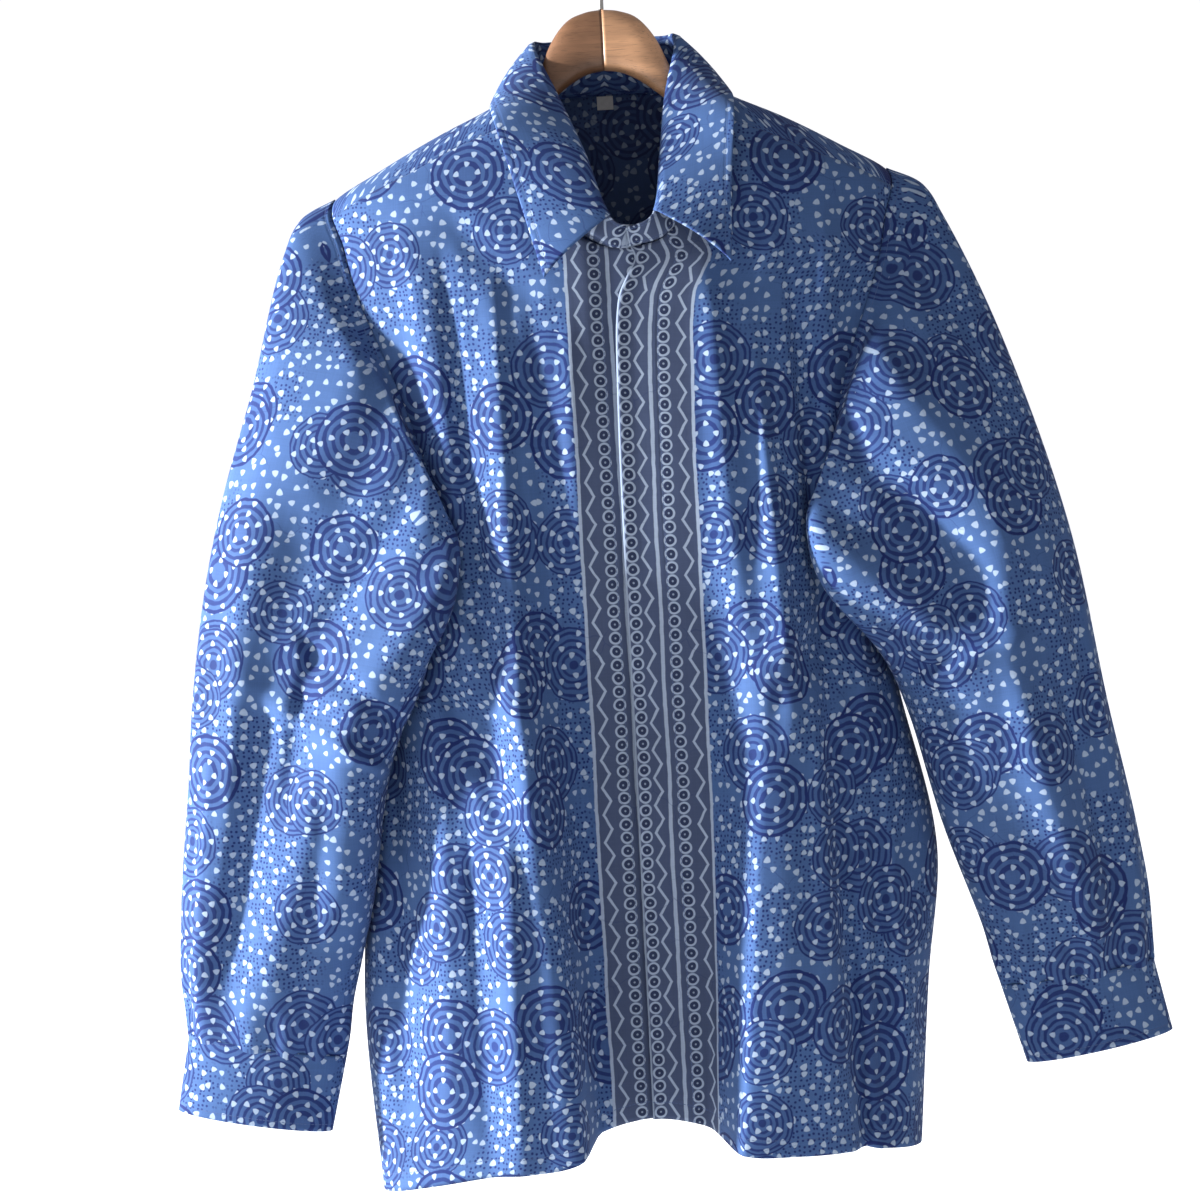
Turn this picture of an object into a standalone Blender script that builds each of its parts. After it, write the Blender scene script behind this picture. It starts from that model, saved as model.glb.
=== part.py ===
"""Long-sleeved shirt in batik cloth, on a contoured wooden hanger, as closed cloth panels.

Metres. +Z is up, the front faces -Y, +X is the viewer's right. The origin is the inside of the
hook's top, where the hanger is held. Each panel is a grid laid on the garment's form and given
the cloth's thickness.
"""

import math

import bmesh
import bpy
import numpy as np
from mathutils import Matrix, Vector

# ---- Driving sizes -------------------------------------------------------------------------
CLOTH = 0.0012          # wall of a single panel
COLLAR_PLY = 0.0016     # wall of the collar, stand and cuffs
SEAM_GAP = 0.0010       # between neighbouring panels, along the cloth
UNDERARM_Z = -0.476
BACK_YOKE_Z = -0.236    # seam between yoke and back
ROUND = 2.3             # how square the body's cross-section is; 2 is an ellipse
PLACKET_BEHIND = 0.0030  # how far the under front lies behind the lapping one
UNDER_EDGE_X = 0.016    # free edge of the under front
SLEEVE_LIFT = 0.0034    # how far the sleeve's top edge stands off the armhole
SLEEVE_LAP = 0.0040     # how far it laps over the body's edge
CUFF_TURNS = 1.10       # a cuff wraps once round and laps over its own end
CUFF_BUTTON_R = 0.0055
HOOK_R = 0.0215         # centre line of the hook's bow
WIRE_R = 0.0018
LEAF_BOW = 0.0030       # how far the collar's leaf rolls out between fold and edge
LABEL_WALL = 0.0006

# Cross-sections of the body: height, half-width on the viewer's left and right, depth of the
# front and of the back. Above -0.20 the half-width follows the slope of the shoulders.
SECTION = (
    #  z       left    right   front   back
    (-0.110, 0.030, 0.034, 0.026, 0.040),
    (-0.124, 0.049, 0.054, 0.034, 0.050),
    (-0.134, 0.070, 0.074, 0.039, 0.053),
    (-0.142, 0.082, 0.087, 0.042, 0.054),
    (-0.160, 0.121, 0.125, 0.048, 0.055),
    (-0.182, 0.163, 0.164, 0.055, 0.056),
    (-0.203, 0.198, 0.197, 0.061, 0.057),
    (-0.240, 0.203, 0.202, 0.068, 0.058),
    (-0.290, 0.200, 0.199, 0.074, 0.060),
    (-0.370, 0.186, 0.184, 0.080, 0.062),
    (-0.470, 0.168, 0.164, 0.084, 0.064),
    (-0.570, 0.184, 0.183, 0.086, 0.065),
    (-0.680, 0.200, 0.203, 0.087, 0.066),
    (-0.770, 0.207, 0.192, 0.087, 0.066),
    (-0.900, 0.201, 0.179, 0.086, 0.066),
)

# Folds of the fronts and of the back. A fold lies between two edges, each given at its top and
# at its bottom, with the width of the wall there; depth is how far the cloth goes inwards.
FOLD_COLUMNS = ("top", "bottom", "l0", "l1", "lw0", "lw1", "r0", "r1", "rw0", "rw1", "d0", "d1")
FRONT_FOLDS = (
    # top    bottom   l0      l1     lw0    lw1    r0     r1     rw0    rw1    d0      d1
    (-0.33, -0.880, -0.070, -0.051, 0.060, 0.012, 0.080, 0.040, 0.070, 0.020, 0.008, 0.056),
    (-0.40, -0.880, 0.116, 0.132, 0.020, 0.014, 0.120, 0.140, 0.022, 0.016, 0.010, 0.017),
    (-0.33, -0.640, -0.112, -0.106, 0.016, 0.020, -0.110, -0.104, 0.016, 0.020, 0.008, 0.003),
    (-0.52, -0.880, -0.150, -0.120, 0.040, 0.060, -0.100, -0.100, 0.040, 0.030, 0.000, -0.006),
)
BACK_FOLDS = (
    (-0.34, -0.880, -0.088, -0.096, 0.040, 0.030, -0.070, -0.074, 0.040, 0.026, 0.002, 0.022),
    (-0.36, -0.880, 0.062, 0.070, 0.040, 0.030, 0.080, 0.094, 0.040, 0.028, 0.002, 0.020),
    (-0.50, -0.880, -0.012, -0.010, 0.040, 0.040, 0.010, 0.012, 0.040, 0.040, 0.000, -0.008),
)

# Hem of the fronts: height by x. The cloth drawn in at the middle carries the hem up with it.
FRONT_HEM = (
    (-0.205, -0.899), (-0.160, -0.888), (-0.120, -0.880), (-0.062, -0.873), (-0.046, -0.864),
    (-0.010, -0.856), (0.024, -0.862), (0.050, -0.8735), (0.090, -0.877), (0.140, -0.880), (0.185, -0.887),
)
BACK_HEM = (
    (-0.205, -0.899), (-0.120, -0.880), (-0.050, -0.872), (0.050, -0.871), (0.120, -0.876), (0.185, -0.887),
)

# Front neck seam, then the seam between yoke and fronts (by distance from the centre).
NECK = (
    (-0.074, -0.163), (-0.067, -0.190), (-0.052, -0.218), (-0.030, -0.241), (-0.008, -0.2525),
    (0.018, -0.2535), (0.036, -0.246), (0.060, -0.213), (0.071, -0.190), (0.077, -0.163),
)
YOKE_FRONT = ((0.060, -0.156), (0.076, -0.163), (0.112, -0.177), (0.134, -0.188), (0.169, -0.2026),
              (0.191, -0.213), (0.200, -0.217))
BACK_NECK_Z = (-0.1236, -0.0110)  # height at the centre, and the drop to the shoulder line
NECK_HALF = 0.072
NECK_CENTRE = (0.0, 0.0, -0.170)

# Armhole: height, and share of the body's half-width, for the front edge and the back edge.
ARMHOLE = (
    #  z      front  back
    (-0.476, 1.000, 1.000),
    (-0.468, 0.900, 0.940),
    (-0.455, 0.810, 0.880),
    (-0.430, 0.775, 0.850),
    (-0.385, 0.790, 0.845),
    (-0.330, 0.840, 0.860),
    (-0.275, 0.910, 0.895),
    (-0.228, 0.962, 0.950),
    (-0.203, 1.000, 1.000),
)

# Free edge of the lapping front: it bows open at the throat.
LAP_EDGE = ((-0.900, -0.0090), (-0.600, -0.0070), (-0.330, -0.0045), (-0.300, -0.0025), (-0.285, 0.0005),
            (-0.273, 0.0065), (-0.262, 0.0120), (-0.252, 0.0085), (-0.245, 0.0060))

# Sleeves: share of the length, outer line, inner line, middle of the depth and half the depth.
SLEEVE_LEFT = (
    # v     outer_x  outer_z  inner_x  inner_z  mid_y   half_depth
    (0.000, 0.1990, -0.2040, 0.1680, -0.4770, 0.000, 0.060),
    (0.050, 0.2230, -0.2170, 0.1690, -0.4960, -0.004, 0.058),
    (0.090, 0.2330, -0.2360, 0.1695, -0.5100, -0.008, 0.057),
    (0.255, 0.2600, -0.3380, 0.1720, -0.5600, -0.022, 0.058),
    (0.480, 0.2960, -0.4700, 0.1830, -0.6300, -0.030, 0.054),
    (0.700, 0.3180, -0.6020, 0.1960, -0.7000, -0.028, 0.046),
    (0.900, 0.3320, -0.7250, 0.2150, -0.7680, -0.020, 0.034),
    (1.000, 0.3290, -0.7790, 0.2215, -0.8005, -0.016, 0.023),
)
SLEEVE_RIGHT = (
    (0.000, 0.1990, -0.2040, 0.1640, -0.4770, 0.000, 0.060),
    (0.050, 0.2230, -0.2170, 0.1660, -0.4960, -0.004, 0.058),
    (0.090, 0.2330, -0.2360, 0.1675, -0.5080, -0.008, 0.057),
    (0.255, 0.2640, -0.3180, 0.1740, -0.5400, -0.022, 0.058),
    (0.480, 0.3030, -0.4560, 0.1880, -0.5900, -0.030, 0.054),
    (0.700, 0.3240, -0.5820, 0.2060, -0.6640, -0.028, 0.046),
    (0.900, 0.3450, -0.7000, 0.2320, -0.7420, -0.020, 0.034),
    (1.000, 0.3480, -0.7645, 0.2415, -0.7770, -0.016, 0.023),
)
# Soft folds of the sleeves: place round the sleeve (0 outer, 0.25 front, 0.5 inner), its half
# width, where along the sleeve, half length, and how far it goes out (-) or in (+) and forwards.
SLEEVE_FOLDS = (
    # round  wide   along  long   inward  forward
    (0.36, 0.120, 0.16, 0.20, 0.020, 0.012),
    (0.22, 0.120, 0.10, 0.14, 0.012, 0.014),
    (0.20, 0.040, 0.35, 0.30, 0.006, -0.004),
    (0.10, 0.045, 0.70, 0.25, 0.005, -0.003),
    (0.30, 0.040, 0.80, 0.20, 0.006, -0.003),
    (0.70, 0.060, 0.45, 0.40, 0.006, 0.004),
)
# Cuffs: outer and inner ends at the top and at the bottom, and half the depth there.
CUFF_LEFT = ((0.3300, -0.7802, 0.2215, -0.8020, 0.022), (0.3405, -0.8335, 0.2345, -0.8540, 0.021))
CUFF_RIGHT = ((0.3485, -0.7660, 0.2415, -0.7785, 0.022), (0.3590, -0.8165, 0.2570, -0.8340, 0.021))
CUFF_Y = -0.016

# Collar by stations from the under end, round the back, to the lapping end: where it meets the
# neck seam (front or back, and x), the fold at the stand's top, and the leaf's outer edge.
COLLAR = (
    # front?  seam_x   fold_x   fold_y   fold_z   edge_x   edge_y   edge_z
    (1, 0.0170, 0.0165, -0.0680, -0.2400, 0.0000, 0.0000, 0.0000),
    (1, -0.0080, -0.0030, -0.0735, -0.2335, -0.0490, -0.0800, -0.2735),
    (1, -0.0520, -0.0175, -0.0500, -0.1880, -0.0650, -0.0680, -0.2090),
    (1, -0.0745, -0.0333, -0.0250, -0.1430, -0.0770, -0.0505, -0.1610),
    (0, -0.0700, -0.0485, 0.0050, -0.0985, -0.0780, 0.0000, -0.1350),
    (0, -0.0420, -0.0400, 0.0360, -0.0890, -0.0560, 0.0520, -0.1280),
    (0, 0.0000, 0.0000, 0.0500, -0.0860, 0.0000, 0.0680, -0.1260),
    (0, 0.0440, 0.0420, 0.0360, -0.0890, 0.0590, 0.0520, -0.1280),
    (0, 0.0720, 0.0510, 0.0050, -0.0985, 0.0830, 0.0000, -0.1350),
    (1, 0.0755, 0.0405, -0.0250, -0.1450, 0.0850, -0.0505, -0.1610),
    (1, 0.0600, 0.0340, -0.0520, -0.1880, 0.0800, -0.0680, -0.2090),
    (1, 0.0360, 0.0265, -0.0745, -0.2320, 0.0755, -0.0800, -0.2700),
    (1, 0.0090, 0.0070, -0.0750, -0.2420, 0.0000, 0.0000, 0.0000),
)

# Hanger, half of it: distance from the centre, top and bottom of the wood, half its thickness.
HANGER = (
    #  x      top     bottom   half_thick
    (0.000, -0.0750, -0.1180, 0.0095),
    (0.012, -0.0766, -0.1200, 0.0094),
    (0.026, -0.0830, -0.1275, 0.0092),
    (0.038, -0.0985, -0.1370, 0.0080),
    (0.048, -0.1210, -0.1460, 0.0066),
    (0.058, -0.1345, -0.1560, 0.0080),
    (0.072, -0.1460, -0.1660, 0.0100),
    (0.095, -0.1560, -0.1780, 0.0125),
    (0.130, -0.1700, -0.1960, 0.0150),
    (0.165, -0.1880, -0.2150, 0.0165),
    (0.188, -0.2010, -0.2280, 0.0170),
    (0.200, -0.2120, -0.2300, 0.0120),
)

CLOTH_COLOUR = (0.100, 0.160, 0.370)
COLLAR_COLOUR = (0.110, 0.175, 0.400)


# ---- Shape functions -----------------------------------------------------------------------
def spline(at, rows, column):
    """A smooth curve through one column of a table, by its first column."""
    rows = sorted(rows)
    xs = np.array([row[0] for row in rows], float)
    ys = np.array([row[column] for row in rows], float)
    chord = np.diff(ys) / np.diff(xs)
    slope = np.concatenate([chord[:1], (chord[1:] + chord[:-1]) / 2, chord[-1:]])
    at = np.clip(np.asarray(at, float), xs[0], xs[-1])
    i = np.clip(np.searchsorted(xs, at) - 1, 0, len(xs) - 2)
    step = xs[i + 1] - xs[i]
    t = (at - xs[i]) / step
    return ((2 * t**3 - 3 * t**2 + 1) * ys[i] + (t**3 - 2 * t**2 + t) * step * slope[i]
            + (3 * t**2 - 2 * t**3) * ys[i + 1] + (t**3 - t**2) * step * slope[i + 1])


def ease(t):
    t = np.clip(t, 0.0, 1.0)
    return t * t * (3 - 2 * t)


def half_width(side, z):
    """Half-width of the body on one side: -1 is the viewer's left, 1 the right."""
    return spline(z, SECTION, 1 if side < 0 else 2)


def depth_at(x, z, back):
    """How far the smooth body stands from its middle plane at x, before the folds."""
    wide = np.where(x < 0, half_width(-1, z), half_width(1, z))
    share = np.clip(np.abs(x) / wide, 0.0, 1.0)
    deep = spline(z, SECTION, 4 if back else 3)
    return deep * (1 - share**ROUND) ** (1 / ROUND)


def folds(x, z, rows):
    """How far the folds take the cloth inwards at x and z."""
    total = np.zeros(np.broadcast(x, z).shape)
    for row in rows:
        f = dict(zip(FOLD_COLUMNS, row))
        t = np.clip((z - f["top"]) / (f["bottom"] - f["top"]), 0.0, 1.0)
        mix = lambda a, b: f[a] + (f[b] - f[a]) * t
        into = ease((x - mix("l0", "l1")) / mix("lw0", "lw1") + 0.5)
        out = ease((x - mix("r0", "r1")) / mix("rw0", "rw1") + 0.5)
        fade = ease((f["top"] + 0.02 - z) / 0.10)
        total = total + mix("d0", "d1") * ease(t * 2.2) * fade * (into - out)
    return total


def body(x, z, back, outwards=0.0):
    """A point of the body's cloth: x, y, z arrays, moved outwards from it if asked."""
    deep = depth_at(x, z, back)
    inward = folds(x, z, BACK_FOLDS if back else FRONT_FOLDS)
    y = deep - inward * ease(deep / 0.04) + outwards
    return np.stack([x, y if back else -y, z + 0 * x], axis=-1)


def resampled(points, shares):
    """Points at these shares of a path's length."""
    steps = np.linalg.norm(np.diff(points, axis=0), axis=1)
    length = np.concatenate([[0.0], np.cumsum(steps)])
    at = np.asarray(shares) * length[-1]
    return np.stack([np.interp(at, length, points[:, i]) for i in range(3)], axis=-1)


def armhole_x(side, z, back, inset=0.0):
    """x of the armhole's edge, or of the side seam below it."""
    share = np.where(z > UNDERARM_Z, spline(z, ARMHOLE, 2 if back else 1), 1.0)
    return side * (half_width(side, z) * np.clip(share, 0, 1) - inset)


def outwards_at(points):
    """Unit vectors straight out of the smooth body at points on it."""
    def level(at):
        x, y, z = at[..., 0], at[..., 1], at[..., 2]
        wide = np.where(x < 0, half_width(-1, z), half_width(1, z))
        deep = np.where(y < 0, spline(z, SECTION, 3), spline(z, SECTION, 4))
        return (np.abs(x) / wide) ** ROUND + (np.abs(y) / deep) ** ROUND
    step = 0.0005
    slope = np.stack([level(points + step * axis) - level(points - step * axis)
                      for axis in np.eye(3)], axis=-1)
    return slope / np.linalg.norm(slope, axis=-1, keepdims=True)


def armhole_path(side, samples=80):
    """The sleeve's seam, from the shoulder down the front to the underarm, and down the back.

    It laps a little over the body's edge and stands off it.
    """
    t = (1 - np.cos(np.linspace(0, math.pi, samples))) / 2
    z = -0.203 + (UNDERARM_Z + 0.203) * t
    lap = SLEEVE_LAP * np.sin(math.pi * t) ** 0.5
    halves = []
    for back in (False, True):
        x = armhole_x(side, z, back) - side * lap
        low = z + SLEEVE_LAP * (0.5 - 1.5 * t)
        x = np.sign(x) * np.minimum(np.abs(x), half_width(side, low) * 0.9999)
        seam = np.stack([x, depth_at(x, low, back) * (1 if back else -1), low], axis=-1)
        halves.append(seam + outwards_at(seam) * SLEEVE_LIFT)
    return halves


# ---- Building helpers ----------------------------------------------------------------------
def material(name, colour, roughness=0.85, metallic=0.0):
    made = bpy.data.materials.new(name)
    made.use_nodes = True
    shader = made.node_tree.nodes["Principled BSDF"]
    shader.inputs["Base Color"].default_value = (*colour, 1.0)
    shader.inputs["Roughness"].default_value = roughness
    shader.inputs["Metallic"].default_value = metallic
    return made


def place(bm, name, slot):
    bmesh.ops.recalc_face_normals(bm, faces=bm.faces)
    mesh = bpy.data.meshes.new(name)
    bm.to_mesh(mesh)
    bm.free()
    mesh.materials.append(slot)
    mesh.shade_smooth()
    made = bpy.data.objects.new(name, mesh)
    bpy.context.scene.collection.objects.link(made)
    return made


def sheet(name, points, slot, wall=CLOTH, round_tube=False, cut_out=None):
    """A cloth piece: a grid of points (rows, columns, 3) given its wall on both sides.

    cut_out is (first row, first column, last column) of a notch open at the grid's last row.
    """
    rows, columns = points.shape[:2]
    bm = bmesh.new()
    made = bmesh.ops.create_grid(bm, x_segments=columns - 1, y_segments=rows - 1, size=0.5)
    for vert in made["verts"]:
        column = round((vert.co.x + 0.5) * (columns - 1))
        row = round((vert.co.y + 0.5) * (rows - 1))
        vert.co = points[row, column]
        vert.index = row * columns + column
    if cut_out:
        from_row, first, last = cut_out
        notch = [face for face in bm.faces if min(v.index for v in face.verts) // columns >= from_row
                 and first <= min(v.index % columns for v in face.verts) < last]
        bmesh.ops.delete(bm, geom=notch, context="FACES")
    if round_tube:
        bmesh.ops.remove_doubles(bm, verts=bm.verts, dist=1e-6)
    shell = place(bm, name, slot)
    thick = shell.modifiers.new("Wall", "SOLIDIFY")
    thick.thickness = wall
    thick.offset = 0.0
    return shell


# ---- Panels --------------------------------------------------------------------------------
def top_of_front(x):
    """Height of a front's top edge at x: the neck seam inside, the yoke seam outside."""
    left, right = NECK[0][0], NECK[-1][0]
    neck = spline(x, NECK, 1)
    yoke = spline(np.abs(x), YOKE_FRONT, 1)
    return np.where((x > left) & (x < right), neck, yoke)


def front_x(side, s, z):
    """x at a share s from the outer edge (0) to the free edge (1) of a front."""
    edge = spline(z, LAP_EDGE, 1) if side > 0 else UNDER_EDGE_X + 0 * z
    outer = armhole_x(side, z, False, SEAM_GAP)
    wide = half_width(side, z)
    a0 = np.arcsin(np.clip(np.abs(outer) / wide, 0, 1)) * side
    a1 = np.arcsin(np.clip(edge / np.where(edge < 0, half_width(-1, z), half_width(1, z)), -1, 1))
    angle = a0 + (a1 - a0) * s
    return np.where(angle < 0, half_width(-1, z), half_width(1, z)) * np.sin(angle)


def front_top(side, s):
    """Height at which the column s meets the front's top edge, by halving."""
    low, high = np.full_like(s, -0.32), np.full_like(s, -0.150)
    for _ in range(40):
        middle = (low + high) / 2
        inside = middle < top_of_front(front_x(side, s, middle))
        low, high = np.where(inside, middle, low), np.where(inside, high, middle)
    return low


def front_grid(side, outer_columns, neck_columns, heights):
    """Points of a front. Heights are shares of the way down, kept exact on the outer edge."""
    fine = np.linspace(0, 1, 800)
    tops = front_top(side, fine)
    corner = fine[np.argmax(np.abs(front_x(side, fine, tops)) < abs(NECK[0 if side < 0 else -1][0]))]
    s = np.concatenate([np.linspace(0, corner, outer_columns + 1)[:-1],
                        np.linspace(corner, 1, neck_columns + 1)])
    top = front_top(side, s) - SEAM_GAP / 2
    hem = spline(front_x(side, s, -0.875 + 0 * s), FRONT_HEM, 1)
    z = top[None, :] + (hem - top)[None, :] * heights[:, None]
    x = front_x(side, s[None, :] + 0 * z, z)
    points = body(x, z, False)
    if side < 0:
        reach = ease((x + 0.026) / 0.022)
        points[..., 1] += PLACKET_BEHIND * reach
    return points


def with_knees(shares, start, end):
    """Row heights with extra rows where the armhole turns in under the arm."""
    knees = [(z - start) / (end - start) for z in (-0.430, -0.455, -0.468, -0.4765)]
    kept = shares[(shares < knees[0] - 0.02) | (shares > knees[3] + 0.02)]
    return np.sort(np.concatenate([kept, knees]))


def back_grid(columns, rows):
    t = with_knees(np.linspace(0, 1, rows), BACK_YOKE_Z, BACK_HEM[0][1])
    s = np.linspace(-1, 1, columns)[None, :]
    hem = spline(0.20 * np.sin(s * math.pi / 2), BACK_HEM, 1)
    z = BACK_YOKE_Z - SEAM_GAP / 2 + (hem - BACK_YOKE_Z) * t[:, None]
    side = np.where(s < 0, -1, 1)
    limit = np.where(side < 0, np.abs(armhole_x(-1, z, True, SEAM_GAP)), np.abs(armhole_x(1, z, True, SEAM_GAP)))
    wide = np.where(side < 0, half_width(-1, z), half_width(1, z))
    angle = np.arcsin(np.clip(limit / wide, 0, 1)) * s
    return body(wide * np.sin(angle), z, True)


def yoke_grid(wing_columns, neck_columns, back_rows, front_rows):
    """From the back seam up to the shoulder line or the back of the neck, then to the front seam.

    Inside the neck the last rows only mark time: they are the notch that the sheet leaves out.
    """
    wing = np.linspace(NECK_HALF + 0.0025, 0.1955, wing_columns)
    xs = np.concatenate([-wing[::-1], np.linspace(-NECK_HALF, NECK_HALF, neck_columns), wing])
    grid = np.zeros((back_rows + front_rows, len(xs), 3))
    ease_out = (1 - np.cos(np.linspace(0, math.pi, 80))) / 2
    low = BACK_YOKE_Z + SEAM_GAP / 2
    for i, x in enumerate(xs):
        side = -1 if x < 0 else 1
        if abs(x) < NECK_HALF + 0.001:
            crest = BACK_NECK_Z[0] + BACK_NECK_Z[1] * (abs(x) / NECK_HALF) ** 2 - 0.0012
        else:
            heights = np.linspace(-0.12, -0.215, 4000)
            crest = heights[np.argmax(half_width(side, heights) > abs(x))]
        behind = body(x + 0 * ease_out, low + (crest - low) * ease_out, True)
        grid[:back_rows, i] = resampled(behind, np.linspace(0, 1, back_rows))
        seam = float(spline(abs(x), YOKE_FRONT, 1)) + SEAM_GAP / 2
        ahead = body(x + 0 * ease_out, crest + (seam - crest) * ease_out, False)
        grid[back_rows:, i] = resampled(ahead, np.linspace(0, 1, front_rows + 1))[1:]
    return grid


def clear_of_body(points, gap):
    """Points moved out from the body's middle line until they stand clear of its cloth."""
    x, y, z = points[..., 0], points[..., 1], points[..., 2]
    gap = gap * (1 + 1.6 * ease((y + 0.01) / 0.02))
    wide = np.where(x < 0, half_width(-1, z), half_width(1, z)) + gap
    deep = np.where(y < 0, spline(z, SECTION, 3), spline(z, SECTION, 4)) + gap
    inside = (np.abs(x) / wide) ** ROUND + (np.abs(y) / deep) ** ROUND
    scale = np.where(inside < 1, np.maximum(inside, 0.05) ** (-1 / ROUND), 1.0)
    scale = 1 + (scale - 1) * ease((UNDERARM_Z + 0.14 - z) / 0.08)
    return np.stack([x * scale, y * scale, z], axis=-1)


def sleeve_point(side, v, r):
    """Sleeve cloth: v down the sleeve, r round it (0 outer, 0.25 front, 0.5 inner, 0.75 back)."""
    table = SLEEVE_LEFT if side < 0 else SLEEVE_RIGHT
    read = lambda column: spline(v, table, column)
    outer = np.stack([read(1), read(2)])
    inner = np.stack([read(3), read(4)])
    turn = 2 * math.pi * r
    middle, reach = (outer + inner) / 2, (outer - inner) / 2
    section = np.stack([side * (middle[0] + reach[0] * np.cos(turn)),
                        read(5) - read(6) * np.sin(turn),
                        middle[1] + reach[1] * np.cos(turn)], axis=-1)
    front, behind = armhole_path(side)
    shares = np.clip(np.where(r <= 0.5, 2 * r, 2 - 2 * r), 0, 1)
    arm = np.where((r <= 0.5)[..., None], resampled(front, shares.ravel()).reshape(*r.shape, 3),
                   resampled(behind, shares.ravel()).reshape(*r.shape, 3))
    outer0, inner0 = np.array(table[0][1:3]), np.array(table[0][3:5])
    middle0, reach0 = (outer0 + inner0) / 2, (outer0 - inner0) / 2
    start = np.stack([side * (middle0[0] + reach0[0] * np.cos(turn)), -table[0][6] * np.sin(turn),
                      middle0[1] + reach0[1] * np.cos(turn)], axis=-1)
    blend = 1 - ease(v / 0.42)
    points = section + blend[..., None] * (arm - start)
    for round_at, wide, along, long, inward, forward in SLEEVE_FOLDS:
        near = np.abs((r - round_at + 0.5) % 1.0 - 0.5) / wide
        amount = np.exp(-near**2) * np.exp(-((v - along) / long) ** 2) * ease(v / 0.06) * ease((1 - v) / 0.08)
        points[..., 0] -= side * inward * amount
        points[..., 1] -= forward * amount
    return points


def sleeve_surface(side, v, r):
    """The sleeve's cloth, lapping the armhole's edge at its top and clear of the body below."""
    points = sleeve_point(side, v, r)
    return points + (clear_of_body(points, 0.0050) - points) * ease(v / 0.03)[..., None]


def sleeve_grid(side, around, rows):
    turn = np.linspace(0, 1, around + 1)
    turn = turn - 0.5 * np.sin(4 * math.pi * turn) / (4 * math.pi)  # closer where the tube bends most
    v, r = np.meshgrid(np.linspace(0, 1, rows) ** 1.05, turn, indexing="ij")
    points = sleeve_surface(side, v, r)
    points[:, -1] = points[:, 0]
    return points


def lifted(points, amount):
    """A grid moved along its own normals; positive is away from the viewer's right-hand turn."""
    across, down = np.gradient(points, axis=1), np.gradient(points, axis=0)
    normal = np.cross(across, down)
    normal /= np.linalg.norm(normal, axis=-1, keepdims=True)
    return points + normal * amount


def sleeve_placket_grid(side):
    """The faced slit above the cuff, a strip lying on the hidden side of the sleeve."""
    v, r = np.meshgrid(np.linspace(0.800, 0.985, 5), np.linspace(0.715, 0.795, 4), indexing="ij")
    points = sleeve_surface(side, v, r)
    centre = sleeve_surface(side, v, r + 0.5)
    moved = lifted(points, 0.0019)
    away = np.sum((moved - points) * (points - centre)) > 0
    return moved if away else lifted(points, -0.0019)


def cuff_point(side, v, turns, out=0.0):
    """Cuff cloth: v down it, turns round it from its under end on the hidden side."""
    top, bottom = CUFF_LEFT if side < 0 else CUFF_RIGHT
    mix = lambda i: top[i] + (bottom[i] - top[i]) * v
    turn = 2 * math.pi * (turns + 0.70)
    middle = ((mix(0) + mix(2)) / 2, (mix(1) + mix(3)) / 2)
    reach = ((mix(0) - mix(2)) / 2, (mix(1) - mix(3)) / 2)
    grow = 1 + out / 0.035
    return np.stack([side * (middle[0] + reach[0] * np.cos(turn) * (1 + out / 0.053)),
                     CUFF_Y - (mix(4) * grow) * np.sin(turn),
                     middle[1] + reach[1] * np.cos(turn)], axis=-1)


def cuff_grid(side, around, rows):
    v, turns = np.meshgrid(np.linspace(0, 1, rows), np.linspace(0, CUFF_TURNS, around), indexing="ij")
    out = 0.0040 * ease((turns - 0.86) / 0.14)
    return cuff_point(side, v, turns, out)


def collar_lines(samples, first, last):
    """Neck seam, fold and outer edge of the collar between two stations, as smooth lines."""
    stations = []
    for i, row in enumerate(COLLAR):
        front, seam_x = row[0], row[1]
        if front:
            seam_z = float(spline(seam_x, NECK, 1)) if abs(seam_x) < 0.0735 else -0.163
            seam = body(np.array([seam_x]), np.array([seam_z]), False)[0]
        else:
            seam_z = BACK_NECK_Z[0] + BACK_NECK_Z[1] * (abs(seam_x) / NECK_HALF) ** 2
            seam = body(np.array([seam_x]), np.array([seam_z]), True)[0]
        if i <= 1:
            seam[1] += PLACKET_BEHIND
        inwards = np.array(NECK_CENTRE) - seam
        seam = seam + inwards / np.linalg.norm(inwards) * 0.0020
        stations.append((i, *seam, *row[2:5], *row[5:8]))
    at = np.linspace(first, last, samples)
    seams = np.stack([spline(at, stations, c) for c in (1, 2, 3)], axis=-1)
    fold = np.stack([spline(at, stations, c) for c in (4, 5, 6)], axis=-1)
    inner = [row for row in stations if 1 <= row[0] <= 11]
    edge = np.stack([spline(at, inner, c) for c in (7, 8, 9)], axis=-1)
    return at, seams, fold, edge


def stand_grid(columns, rows):
    _, seam, fold, _ = collar_lines(columns, 0, 12)
    b = np.linspace(0, 1, rows)[:, None, None]
    points = seam[None] + (fold[None] - seam[None]) * b
    points[-1, :, 2] -= 0.0022
    return points


def leaf_grid(columns, rows):
    """The collar's leaf: rolls outwards from the fold and comes down to its outer edge."""
    _, _, fold, edge = collar_lines(columns, 1, 11)
    b = np.linspace(0, 1, rows)[:, None, None]
    points = fold[None] + (edge[None] - fold[None]) * b
    centre = np.array([0.0, 0.0, -0.150])
    away = points - centre
    away[..., 2] = 0.35 * np.linalg.norm(away[..., :2], axis=-1)
    away /= np.linalg.norm(away, axis=-1, keepdims=True)
    bow = 0.0018 + LEAF_BOW * np.sin(math.pi * b) ** 0.7
    points = points + away * bow
    points[0, :, 2] += 0.0012
    return points


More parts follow.
